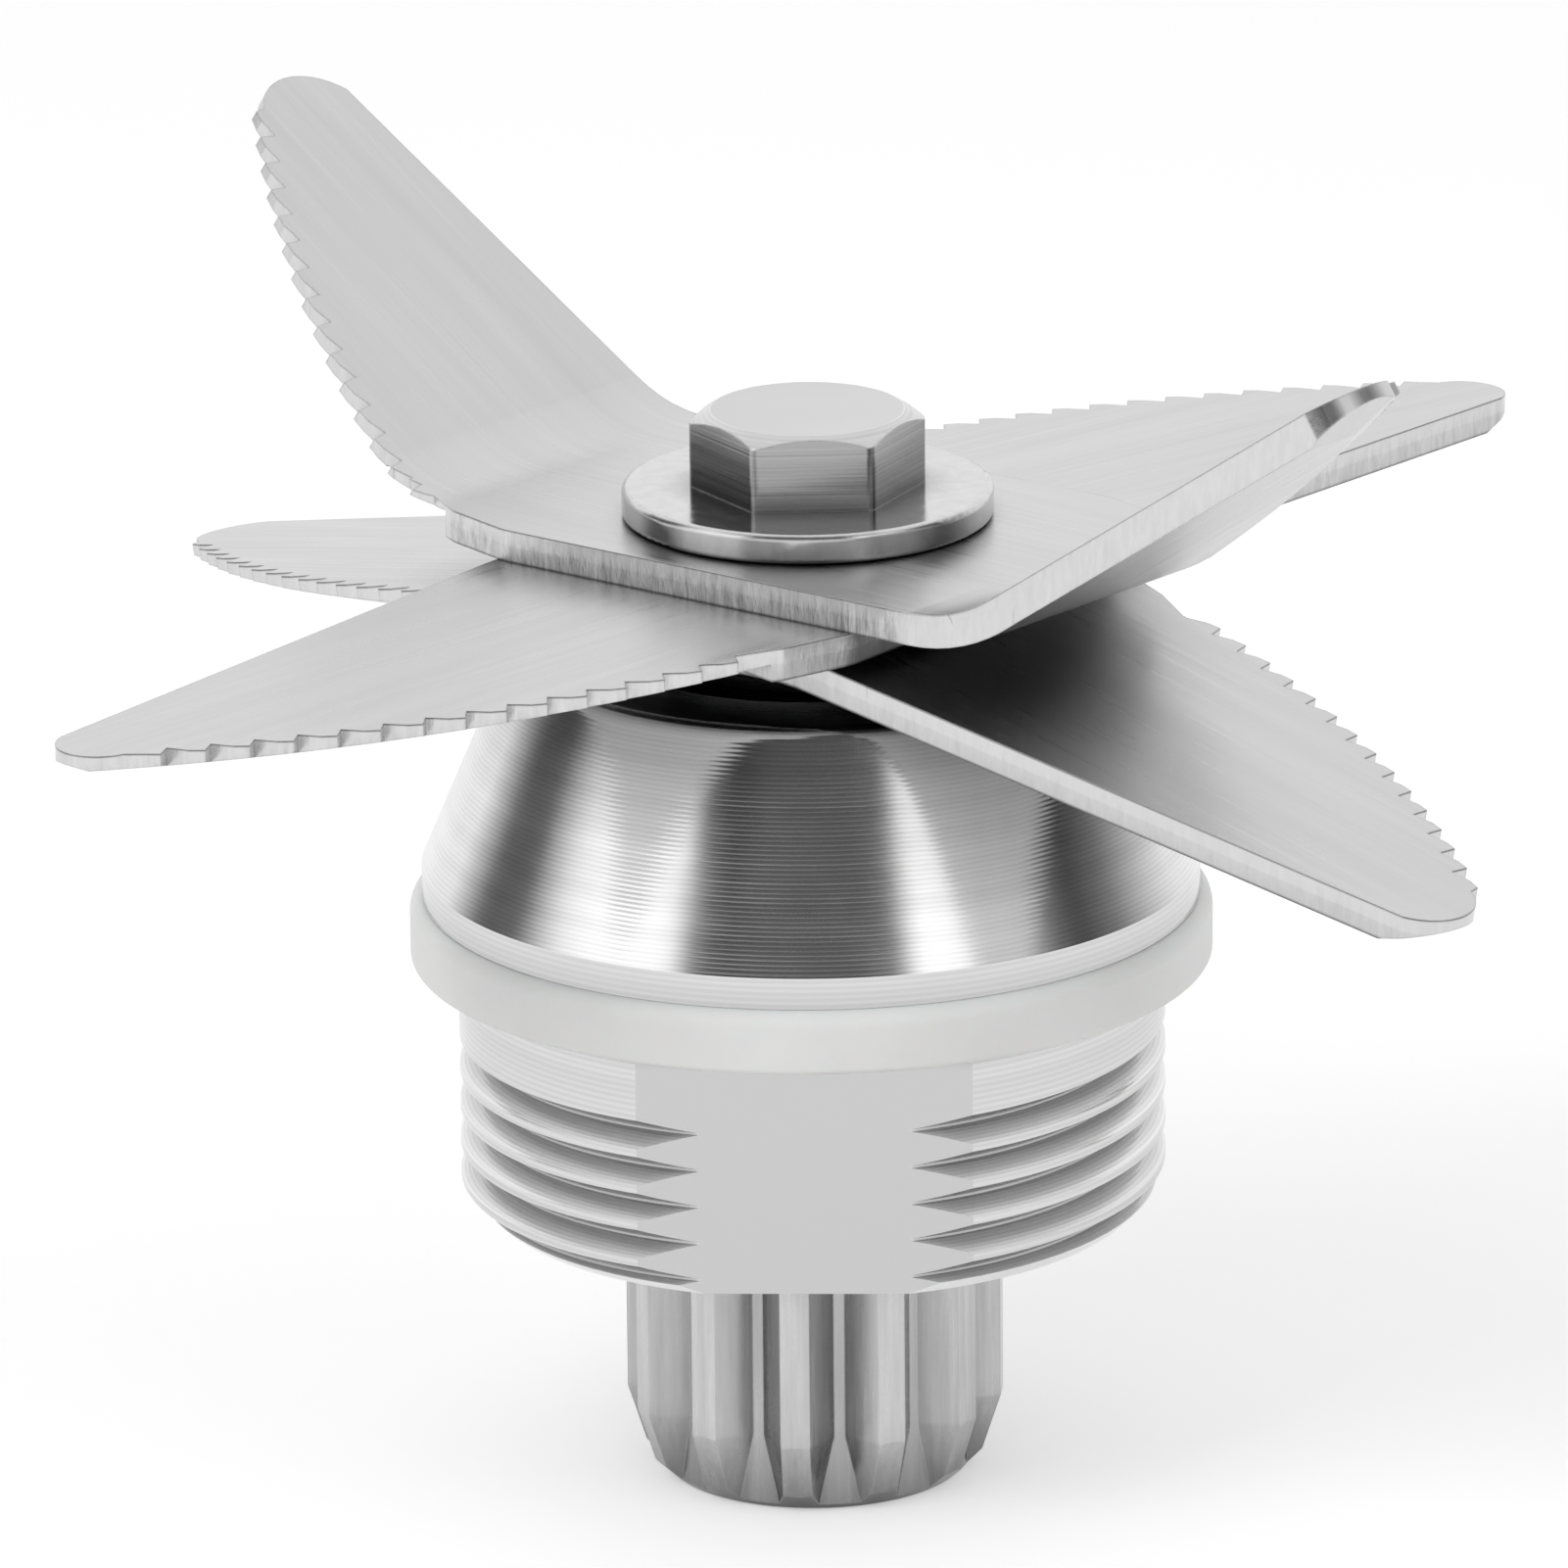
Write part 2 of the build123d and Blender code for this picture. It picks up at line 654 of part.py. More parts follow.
save(housing, "housing")
save(jar_gasket, "jar_gasket")
save(spindle, "spindle")
save(blade_collar, "blade_collar")
save(upper_blade, "upper_blade")
save(middle_blade, "middle_blade")
save(lower_blade, "lower_blade")
save(clamp_washer, "clamp_washer")
save(blade_bolt, "blade_bolt")
save(upper_bearing_inner_ring, "upper_bearing_inner_ring")
save(upper_bearing_outer_ring, "upper_bearing_outer_ring")
save(upper_bearing_balls, "upper_bearing_balls")
save(upper_bearing_cage, "upper_bearing_cage")
save(upper_bearing_bottom_shield, "upper_bearing_bottom_shield")
save(upper_bearing_top_shield, "upper_bearing_top_shield")
save(lower_bearing_inner_ring, "lower_bearing_inner_ring")
save(lower_bearing_outer_ring, "lower_bearing_outer_ring")
save(lower_bearing_balls, "lower_bearing_balls")
save(lower_bearing_cage, "lower_bearing_cage")
save(lower_bearing_bottom_shield, "lower_bearing_bottom_shield")
save(lower_bearing_top_shield, "lower_bearing_top_shield")
save(inner_spacer, "inner_spacer")
save(outer_spacer, "outer_spacer")
save(retaining_ring, "retaining_ring")
save(seal_case, "seal_case")
save(seal_lip, "seal_lip")
save(seal_spring, "seal_spring")
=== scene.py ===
"""Blade assembly of a kitchen blender: finishes for every piece, the cut thread and a plain studio."""

from math import cos, pi, radians, sin, tan
from typing import NamedTuple

import bpy
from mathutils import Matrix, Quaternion, Vector


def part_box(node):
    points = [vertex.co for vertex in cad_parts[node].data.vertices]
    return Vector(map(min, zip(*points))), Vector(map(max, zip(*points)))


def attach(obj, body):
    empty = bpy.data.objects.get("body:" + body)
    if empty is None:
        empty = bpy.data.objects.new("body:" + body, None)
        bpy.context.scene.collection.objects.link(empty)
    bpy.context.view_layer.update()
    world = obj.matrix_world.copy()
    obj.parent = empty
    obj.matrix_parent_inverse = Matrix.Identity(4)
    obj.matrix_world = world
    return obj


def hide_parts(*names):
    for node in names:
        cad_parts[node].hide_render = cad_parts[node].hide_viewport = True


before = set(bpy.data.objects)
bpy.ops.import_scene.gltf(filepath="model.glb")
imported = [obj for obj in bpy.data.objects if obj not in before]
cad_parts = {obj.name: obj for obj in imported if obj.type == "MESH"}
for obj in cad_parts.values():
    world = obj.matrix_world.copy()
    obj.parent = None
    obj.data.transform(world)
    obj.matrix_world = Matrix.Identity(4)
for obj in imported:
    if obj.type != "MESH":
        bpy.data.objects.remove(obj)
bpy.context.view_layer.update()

bl_info = {
    "name": "Blade Assembly Looks",
    "version": (1, 0, 0),
    "blender": (4, 5, 0),
    "location": "3D View > Sidebar > Blade Assembly",
    "description": "Finishes a blender blade assembly, cuts its neck thread and sets up a studio round it",
    "category": "Object",
}

MM = 0.001

# Sockets that a Mix node keeps for colours and for vectors.
COLOUR_A, COLOUR_B, COLOUR_OUT = 6, 7, 2
VECTOR_A, VECTOR_B, VECTOR_OUT = 4, 5, 1
# Rays that look for near surfaces at each point, for the painted shade in hollows and for the broken corners
# with their painted highlight.
NEAR_RAYS = 3


def linear(code):
    """Linear colour of an sRGB hex value."""
    shares = [int(code[place:place + 2], 16) / 255 for place in (1, 3, 5)]
    return [c / 12.92 if c <= 0.04045 else ((c + 0.055) / 1.055) ** 2.4 for c in shares]


def add_node(tree, kind, settings=None, inputs=None):
    """Add a node, set it up, and link or set its inputs."""
    node = tree.nodes.new(kind)
    for name, value in (settings or {}).items():
        setattr(node, name, value)
    for name, value in (inputs or {}).items():
        if isinstance(value, bpy.types.NodeSocket):
            tree.links.new(value, node.inputs[name])
        else:
            node.inputs[name].default_value = value
    return node


def new_material(name):
    """A material with its node tree and main shader."""
    material = bpy.data.materials.new(name)
    material.use_nodes = True
    return material, material.node_tree, material.node_tree.nodes["Principled BSDF"]


def dress(material, *names):
    """Give a material to CAD nodes."""
    for name in names:
        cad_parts[name].data.materials.clear()
        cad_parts[name].data.materials.append(material)


def set_stops(ramp, stops):
    """Give a colour ramp grey stops, each a position and a level."""
    while len(ramp.elements) < len(stops):
        ramp.elements.new(0.5)
    for stop, (position, level) in zip(ramp.elements, stops):
        stop.position = position
        stop.color = (level, level, level, 1)


class ThreadSizes(bpy.types.PropertyGroup):
    """Sizes of the thread on the neck of the housing."""

    crest_radius: bpy.props.FloatProperty(
        name="Crest Radius", description="Radius of the neck over the crests",
        default=17.25 * MM, unit="LENGTH", precision=5)
    pitch: bpy.props.FloatProperty(
        name="Pitch", description="Rise of the groove in one turn",
        default=1.85 * MM, unit="LENGTH", precision=5)
    flat_distance: bpy.props.FloatProperty(
        name="Flat Distance", description="Distance of each milled flat from the axis",
        default=15.25 * MM, unit="LENGTH", precision=5)
    depth: bpy.props.FloatProperty(
        name="Depth", description="Depth of the groove under the crest",
        default=1.17 * MM, unit="LENGTH", precision=5)
    root_flat: bpy.props.FloatProperty(
        name="Root Flat", description="Width of the bottom of the groove",
        default=0.11 * MM, unit="LENGTH", precision=5)
    flank_angle: bpy.props.FloatProperty(
        name="Flank Angle", description="Slope of each side of the groove",
        default=radians(30), subtype="ANGLE")
    top: bpy.props.FloatProperty(
        name="Top", description="Height of the groove's middle where it ends, at the back",
        default=23.02 * MM, unit="LENGTH", precision=5)
    flange_height: bpy.props.FloatProperty(
        name="Flange Height", description="Height of the flange between the gasket and the cone",
        default=1.55 * MM, unit="LENGTH", precision=5)
    run_out: bpy.props.FloatProperty(
        name="Run-Out", description="Length over which the groove runs out at its top",
        default=21 * MM, unit="LENGTH", precision=5)
    turns: bpy.props.IntProperty(name="Turns", description="Turns of the groove", default=6)
    steps: bpy.props.IntProperty(name="Steps", description="Sections in one turn", default=122)


class FinishColours(bpy.types.PropertyGroup):
    """Colours of the metals and rubbers."""

    sheet: bpy.props.FloatVectorProperty(
        name="Blade Sheet", description="Satin stainless sheet of the plates",
        subtype="COLOR", default=linear("#D3D3D3"))
    sheared: bpy.props.FloatVectorProperty(
        name="Sheared Edge", description="Fresh steel on the cut edges of the plates",
        subtype="COLOR", default=linear("#D2D2D2"))
    turned: bpy.props.FloatVectorProperty(
        name="Turned Housing", description="Turned stainless steel of the housing",
        subtype="COLOR", default=linear("#EBEBEB"))
    milled: bpy.props.FloatVectorProperty(
        name="Milled Flat", description="Milled flats on the neck",
        subtype="COLOR", default=linear("#CACACA"))
    spline: bpy.props.FloatVectorProperty(
        name="Drive Spline", description="Machined steel of the spindle",
        subtype="COLOR", default=linear("#C8C8C8"))
    polished: bpy.props.FloatVectorProperty(
        name="Bolt And Washer", description="Polished stainless steel",
        subtype="COLOR", default=linear("#D8D8D8"))
    bearing: bpy.props.FloatVectorProperty(
        name="Bearings", description="Ground bearing steel",
        subtype="COLOR", default=linear("#C6C6C7"))
    spring: bpy.props.FloatVectorProperty(
        name="Spring Steel", description="Dark oiled spring steel of the retaining ring",
        subtype="COLOR", default=linear("#5A5B5D"))
    silicone: bpy.props.FloatVectorProperty(
        name="Gasket", description="Milky silicone of the jar gasket",
        subtype="COLOR", default=linear("#F6F6F5"))
    rubber: bpy.props.FloatVectorProperty(
        name="Seal Lip", description="Black nitrile rubber of the shaft seal",
        subtype="COLOR", default=linear("#1B1B1C"))


class StageSettings(bpy.types.PropertyGroup):
    """Floor, lights and camera."""

    floor: bpy.props.FloatVectorProperty(
        name="Floor", description="Colour of the floor",
        subtype="COLOR", default=linear("#EBEBEB"))
    floor_size: bpy.props.FloatProperty(
        name="Floor Size", description="Side of the floor", default=6.0, unit="LENGTH")
    floor_gap: bpy.props.FloatProperty(
        name="Floor Gap", description="Air between the floor and the end of the spline",
        default=0.05 * MM, unit="LENGTH", precision=5)
    floor_lift: bpy.props.FloatProperty(
        name="Floor Lift", description="Light added to the floor where the camera or a reflection sees it",
        default=0.4)
    room: bpy.props.FloatProperty(
        name="Room Light", description="Strength of the even light of the room", default=0.55)
    key: bpy.props.FloatProperty(
        name="Key Light", description="Power of the large soft light at the upper left",
        default=2.4, unit="POWER")
    fill: bpy.props.FloatProperty(
        name="Fill Light", description="Power of the soft light at the right",
        default=0.9, unit="POWER")
    lens: bpy.props.FloatProperty(
        name="Lens", description="Focal length on a 36 mm sensor, for a square frame", default=330.61)
    eye: bpy.props.FloatVectorProperty(
        name="Eye", description="Place of the camera", subtype="TRANSLATION",
        default=(0.018533, -0.667348, 0.245280))
    target: bpy.props.FloatVectorProperty(
        name="Target", description="Point in the middle of the frame", subtype="TRANSLATION",
        default=(-0.0012734, -0.0000378, 0.0347855))
    roll: bpy.props.FloatProperty(
        name="Roll", description="Tilt of the camera about its own line of sight",
        default=radians(-0.531), subtype="ANGLE")


class Plate(NamedTuple):
    """Where one blade plate lies: its turn, its fold and how far its cut edge lies flat."""

    turn: float
    order: int
    fold_at: float
    fold_radius: float
    fold_angle: float
    flat_to: float
    tearing: float


SHEET = 1.6 * MM
PLATES = {
    "upper_blade": Plate(radians(-39.0), 0, 17.3 * MM, 9 * MM, radians(34), 13 * MM, 1.0),
    "middle_blade": Plate(radians(44.7), 1, 13.2 * MM, 40 * MM, radians(-1.47), 60 * MM, 0.5),
    "lower_blade": Plate(radians(-43.7), 2, 8 * MM, 12 * MM, radians(-11), 60 * MM, 0.25),
}


def sheet_steel(name, colours, plate):
    """Stainless sheet brushed along one plate's wings, with sheared edges."""
    # Satin grain blurs reflections along the wing; a cut edge is burnished above and torn below.
    material, tree, shader = new_material(name)
    place = add_node(tree, "ShaderNodeTexCoord")
    axes = add_node(tree, "ShaderNodeSeparateXYZ", inputs={0: place.outputs["Object"]})
    normal = add_node(tree, "ShaderNodeNewGeometry")
    upright = add_node(tree, "ShaderNodeSeparateXYZ", inputs={0: normal.outputs["True Normal"]})
    lying = add_node(tree, "ShaderNodeMath", {"operation": "ABSOLUTE"}, {0: upright.outputs["Z"]})
    edge = add_node(tree, "ShaderNodeMapRange", {"interpolation_type": "SMOOTHSTEP"}, {
        "Value": lying.outputs[0], "From Min": 0.3, "From Max": 0.5, "To Min": 1.0, "To Max": 0.0})
    # Distance out along the wing, and height in the sheet as a share of its thickness.
    run = add_node(tree, "ShaderNodeVectorMath", {"operation": "DOT_PRODUCT"}, {
        0: place.outputs["Object"], 1: (cos(plate.turn), sin(plate.turn), 0)})
    out = add_node(tree, "ShaderNodeMath", {"operation": "ABSOLUTE"}, {0: run.outputs["Value"]})
    past_fold = add_node(tree, "ShaderNodeMath", {"operation": "SUBTRACT"}, {
        0: out.outputs[0], 1: plate.fold_at})
    sloped = add_node(tree, "ShaderNodeMath", {"operation": "MULTIPLY"}, {
        0: past_fold.outputs[0], 1: tan(abs(plate.fold_angle))})
    folded = add_node(tree, "ShaderNodeMath", {"operation": "SMOOTH_MAX"}, {
        0: sloped.outputs[0], 1: 0.0, 2: 4 * plate.fold_radius * (1 / cos(plate.fold_angle / 2) - 1)})
    rise = add_node(tree, "ShaderNodeMath", {"operation": "MULTIPLY"}, {
        0: folded.outputs[0], 1: 1.0 if plate.fold_angle > 0 else -1.0})
    level = add_node(tree, "ShaderNodeMath", {"operation": "SUBTRACT"}, {
        0: axes.outputs["Z"], 1: rise.outputs[0]})
    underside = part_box("clamp_washer")[0].z - (plate.order + 1) * SHEET
    share = add_node(tree, "ShaderNodeMapRange", inputs={
        "Value": level.outputs[0], "From Min": underside, "From Max": underside + SHEET})
    by_hub = add_node(tree, "ShaderNodeMapRange", {"interpolation_type": "SMOOTHSTEP"}, {
        "Value": out.outputs[0], "From Min": plate.flat_to, "From Max": plate.flat_to + 2 * MM,
        "To Min": 1.0, "To Max": 0.0})
    # Grain lines 0.3 mm wide and 14 mm long, drawn a little coarser than real so that they show.
    along = add_node(tree, "ShaderNodeMapping", {"vector_type": "TEXTURE"}, {
        "Vector": place.outputs["Object"], "Rotation": (0, 0, plate.turn),
        "Scale": (14 * MM, 0.3 * MM, 14 * MM)})
    grain = add_node(tree, "ShaderNodeTexNoise", inputs={
        "Vector": along.outputs[0], "Scale": 1.0, "Detail": 3.0, "Roughness": 0.6})
    # Soft polishing streaks about 3 mm wide and 30 mm long.
    streak_place = add_node(tree, "ShaderNodeMapping", {"vector_type": "TEXTURE"}, {
        "Vector": place.outputs["Object"], "Rotation": (0, 0, plate.turn),
        "Scale": (30 * MM, 3 * MM, 30 * MM)})
    streak = add_node(tree, "ShaderNodeTexNoise", inputs={
        "Vector": streak_place.outputs[0], "Scale": 1.0, "Detail": 2.0})
    # Tear marks 0.35 mm wide and 1.5 mm tall.
    tear_place = add_node(tree, "ShaderNodeMapping", {"vector_type": "TEXTURE"}, {
        "Vector": place.outputs["Object"], "Rotation": (0, 0, plate.turn),
        "Scale": (0.35 * MM, 0.35 * MM, 1.5 * MM)})
    tear = add_node(tree, "ShaderNodeTexNoise", inputs={
        "Vector": tear_place.outputs[0], "Scale": 1.0, "Detail": 4.0, "Roughness": 0.65})
    tone = add_node(tree, "ShaderNodeMapRange", inputs={
        "Value": streak.outputs["Fac"], "From Min": 0.3, "From Max": 0.7, "To Min": 0.96, "To Max": 1.03})
    face = add_node(tree, "ShaderNodeMix", {"data_type": "RGBA", "blend_type": "MULTIPLY"}, {
        "Factor": 1.0, COLOUR_A: (*colours.sheet, 1), COLOUR_B: tone.outputs[0]})
    torn_share = add_node(tree, "ShaderNodeMapRange", inputs={
        "Value": share.outputs[0], "From Min": 0.8, "From Max": 0.5,
        "To Min": 0.5 * plate.tearing, "To Max": plate.tearing})
    torn_deep = add_node(tree, "ShaderNodeMath", {"operation": "MULTIPLY"}, {
        0: torn_share.outputs[0], 1: by_hub.outputs[0]})
    torn = add_node(tree, "ShaderNodeMath", {"operation": "MAXIMUM"}, {
        0: torn_deep.outputs[0], 1: 0.2 * plate.tearing})
    cut_tone = add_node(tree, "ShaderNodeMapRange", inputs={
        "Value": tear.outputs["Fac"], "From Min": 0.3, "From Max": 0.65, "To Min": 0.62, "To Max": 1.1})
    # Both corners of a cut edge get a painted dark line: painted shade on the rolled-over corner and painted
    # shadow in the gap to the next plate.
    corners = add_node(tree, "ShaderNodeValToRGB", inputs={"Fac": share.outputs[0]})
    set_stops(corners.color_ramp, [
        (0.0, 0.25), (0.09, 0.85), (0.5, 0.92), (0.56, 1.0), (0.93, 1.0), (0.99, 0.4)])
    cut = add_node(tree, "ShaderNodeMix", {"data_type": "RGBA", "blend_type": "MULTIPLY"}, {
        "Factor": torn.outputs[0], COLOUR_A: (*colours.sheared, 1), COLOUR_B: cut_tone.outputs[0]})
    shade_lined = add_node(tree, "ShaderNodeMix", {"data_type": "RGBA", "blend_type": "MULTIPLY"}, {
        "Factor": by_hub.outputs[0], COLOUR_A: cut.outputs[COLOUR_OUT], COLOUR_B: corners.outputs[0]})
    before_hollow_shade = add_node(tree, "ShaderNodeMix", {"data_type": "RGBA"}, {
        "Factor": edge.outputs[0], COLOUR_A: face.outputs[COLOUR_OUT], COLOUR_B: shade_lined.outputs[COLOUR_OUT]})
    # Painted shade darkens the sheet where the plates lie within 7 mm of each other.
    open_to = add_node(tree, "ShaderNodeAmbientOcclusion", {"samples": NEAR_RAYS}, {"Distance": 7 * MM})
    painted_shade = add_node(tree, "ShaderNodeMapRange", inputs={
        "Value": open_to.outputs["AO"], "From Min": 0.12, "From Max": 0.6, "To Min": 0.42, "To Max": 1.0})
    colour = add_node(tree, "ShaderNodeMix", {"data_type": "RGBA", "blend_type": "MULTIPLY"}, {
        "Factor": 1.0, COLOUR_A: before_hollow_shade.outputs[COLOUR_OUT], COLOUR_B: painted_shade.outputs[0]})
    satin = add_node(tree, "ShaderNodeMapRange", inputs={
        "Value": grain.outputs["Fac"], "From Min": 0.3, "From Max": 0.7, "To Min": 0.26, "To Max": 0.37})
    burnished = add_node(tree, "ShaderNodeMapRange", inputs={
        "Value": torn.outputs[0], "From Min": 0.2, "From Max": 0.7, "To Min": 0.2, "To Max": 0.33})
    rough = add_node(tree, "ShaderNodeMix", inputs={
        "Factor": edge.outputs[0], "A": satin.outputs[0], "B": burnished.outputs[0]})
    fine = add_node(tree, "ShaderNodeMath", {"operation": "MULTIPLY"}, {0: grain.outputs["Fac"], 1: 0.1})
    rip = add_node(tree, "ShaderNodeMath", {"operation": "MULTIPLY"}, {
        0: tear.outputs["Fac"], 1: torn.outputs[0]})
    height = add_node(tree, "ShaderNodeMix", inputs={
        "Factor": edge.outputs[0], "A": fine.outputs[0], "B": rip.outputs[0]})
    broken = add_node(tree, "ShaderNodeBevel", {"samples": NEAR_RAYS}, {"Radius": 0.14 * MM})
    bump = add_node(tree, "ShaderNodeBump", inputs={
        "Strength": 0.7, "Distance": 0.09 * MM, "Height": height.outputs[0], "Normal": broken.outputs[0]})
    tree.links.new(colour.outputs[COLOUR_OUT], shader.inputs["Base Color"])
    tree.links.new(rough.outputs[0], shader.inputs["Roughness"])
    tree.links.new(bump.outputs[0], shader.inputs["Normal"])
    shader.inputs["Metallic"].default_value = 1.0
    return material


def turned_steel(name, colours, flat_distance, cone_z):
    """Stainless steel turned on a lathe, with milled flats on the neck below the cone."""
    # Fine tool grooves round the axis draw each reflection out into a band up the cone.
    material, tree, shader = new_material(name)
    place = add_node(tree, "ShaderNodeTexCoord")
    axes = add_node(tree, "ShaderNodeSeparateXYZ", inputs={0: place.outputs["Object"]})
    out = add_node(tree, "ShaderNodeVectorMath", {"operation": "MULTIPLY"}, {
        0: place.outputs["Object"], 1: (1, 1, 0)})
    radius = add_node(tree, "ShaderNodeVectorMath", {"operation": "LENGTH"}, {0: out.outputs[0]})
    across = add_node(tree, "ShaderNodeVectorMath", {"operation": "CROSS_PRODUCT"}, {
        0: (0, 0, 1), 1: out.outputs[0]})
    round_axis = add_node(tree, "ShaderNodeVectorMath", {"operation": "NORMALIZE"}, {0: across.outputs[0]})
    # Feed marks 0.3 mm apart, counted up the walls and outwards on the faces, coarse enough to show.
    feed = add_node(tree, "ShaderNodeMath", {"operation": "SUBTRACT"}, {
        0: axes.outputs["Z"], 1: radius.outputs["Value"]})
    turn = add_node(tree, "ShaderNodeMath", {"operation": "MULTIPLY"}, {
        0: feed.outputs[0], 1: 2 * pi / (0.3 * MM)})
    wave = add_node(tree, "ShaderNodeMath", {"operation": "SINE"}, {0: turn.outputs[0]})
    worn = add_node(tree, "ShaderNodeTexNoise", {"noise_dimensions": "1D"}, {
        "W": feed.outputs[0], "Scale": 1 / (2 * MM), "Detail": 3.0, "Roughness": 0.5})
    groove = add_node(tree, "ShaderNodeMath", {"operation": "MULTIPLY_ADD"}, {
        0: wave.outputs[0], 1: 0.2, 2: worn.outputs["Fac"]})
    # Handling marks and water stains about 4 mm across.
    stain = add_node(tree, "ShaderNodeTexNoise", inputs={
        "Vector": place.outputs["Object"], "Scale": 1 / (4 * MM), "Detail": 4.0})
    normal = add_node(tree, "ShaderNodeNewGeometry")
    facing = add_node(tree, "ShaderNodeSeparateXYZ", inputs={0: normal.outputs["True Normal"]})
    square = add_node(tree, "ShaderNodeMath", {"operation": "ABSOLUTE"}, {0: facing.outputs["Y"]})
    planed = add_node(tree, "ShaderNodeMath", {"operation": "GREATER_THAN"}, {
        0: square.outputs[0], 1: 0.999})
    distance = add_node(tree, "ShaderNodeMath", {"operation": "ABSOLUTE"}, {0: axes.outputs["Y"]})
    in_plane = add_node(tree, "ShaderNodeMath", {"operation": "COMPARE"}, {
        0: distance.outputs[0], 1: flat_distance, 2: 0.02 * MM})
    flat = add_node(tree, "ShaderNodeMath", {"operation": "MULTIPLY"}, {
        0: planed.outputs[0], 1: in_plane.outputs[0]})
    # What the lathe cut faces straight out from the axis, so its mesh facets are smoothed to that.
    aside = add_node(tree, "ShaderNodeVectorMath", {"operation": "DOT_PRODUCT"}, {
        0: normal.outputs["Normal"], 1: round_axis.outputs[0]})
    step = add_node(tree, "ShaderNodeVectorMath", {"operation": "SCALE"}, {
        0: round_axis.outputs[0], "Scale": aside.outputs["Value"]})
    straight = add_node(tree, "ShaderNodeVectorMath", {"operation": "SUBTRACT"}, {
        0: normal.outputs["Normal"], 1: step.outputs[0]})
    true_round = add_node(tree, "ShaderNodeMix", {"data_type": "VECTOR"}, {
        "Factor": flat.outputs[0], VECTOR_A: straight.outputs[0], VECTOR_B: normal.outputs["Normal"]})
    unit = add_node(tree, "ShaderNodeVectorMath", {"operation": "NORMALIZE"}, {
        0: true_round.outputs[VECTOR_OUT]})
    tone = add_node(tree, "ShaderNodeMapRange", inputs={
        "Value": groove.outputs[0], "From Min": 0.25, "From Max": 0.75, "To Min": 0.9, "To Max": 1.04})
    # Painted shade: upright walls are drawn greyer than the cone.
    lying = add_node(tree, "ShaderNodeMath", {"operation": "ABSOLUTE"}, {0: facing.outputs["Z"]})
    painted_wall_shade = add_node(tree, "ShaderNodeMapRange", inputs={
        "Value": lying.outputs[0], "From Min": 0.1, "From Max": 0.25, "To Min": 0.8, "To Max": 1.0})
    cut_tone = add_node(tree, "ShaderNodeMath", {"operation": "MULTIPLY"}, {
        0: tone.outputs[0], 1: painted_wall_shade.outputs[0]})
    lathe = add_node(tree, "ShaderNodeMix", {"data_type": "RGBA", "blend_type": "MULTIPLY"}, {
        "Factor": 1.0, COLOUR_A: (*colours.turned, 1), COLOUR_B: cut_tone.outputs[0]})
    before_hollow_shade = add_node(tree, "ShaderNodeMix", {"data_type": "RGBA"}, {
        "Factor": flat.outputs[0], COLOUR_A: lathe.outputs[COLOUR_OUT], COLOUR_B: (*colours.milled, 1)})
    # Painted shade in the thread, 1.2 mm deep, and darker painted shade under the plates, 9 mm above the
    # cone.
    gap = add_node(tree, "ShaderNodeMapRange", inputs={
        "Value": axes.outputs["Z"], "From Min": cone_z, "From Max": cone_z + 1 * MM,
        "To Min": 1.2 * MM, "To Max": 9 * MM})
    open_to = add_node(tree, "ShaderNodeAmbientOcclusion", {"samples": NEAR_RAYS}, {
        "Distance": gap.outputs[0]})
    deepest_painted_shade = add_node(tree, "ShaderNodeMapRange", inputs={
        "Value": axes.outputs["Z"], "From Min": cone_z, "From Max": cone_z + 1 * MM,
        "To Min": 0.48, "To Max": 0.34})
    painted_shade = add_node(tree, "ShaderNodeMapRange", inputs={
        "Value": open_to.outputs["AO"], "From Min": 0.5, "From Max": 0.92,
        "To Min": deepest_painted_shade.outputs[0], "To Max": 1.0})
    colour = add_node(tree, "ShaderNodeMix", {"data_type": "RGBA", "blend_type": "MULTIPLY"}, {
        "Factor": 1.0, COLOUR_A: before_hollow_shade.outputs[COLOUR_OUT], COLOUR_B: painted_shade.outputs[0]})
    satin = add_node(tree, "ShaderNodeMapRange", inputs={
        "Value": stain.outputs["Fac"], "From Min": 0.3, "From Max": 0.7, "To Min": 0.13, "To Max": 0.18})
    rough = add_node(tree, "ShaderNodeMix", inputs={
        "Factor": flat.outputs[0], "A": satin.outputs[0], "B": 0.4})
    height = add_node(tree, "ShaderNodeMix", inputs={
        "Factor": flat.outputs[0], "A": groove.outputs[0], "B": stain.outputs["Fac"]})
    bump = add_node(tree, "ShaderNodeBump", inputs={
        "Strength": 0.25, "Distance": 0.03 * MM, "Height": height.outputs[0], "Normal": unit.outputs[0]})
    tree.links.new(colour.outputs[COLOUR_OUT], shader.inputs["Base Color"])
    tree.links.new(rough.outputs[0], shader.inputs["Roughness"])
    tree.links.new(bump.outputs[0], shader.inputs["Normal"])
    tree.links.new(round_axis.outputs[0], shader.inputs["Tangent"])
    shader.inputs["Metallic"].default_value = 1.0
    shader.inputs["Anisotropic"].default_value = 0.6
    return material


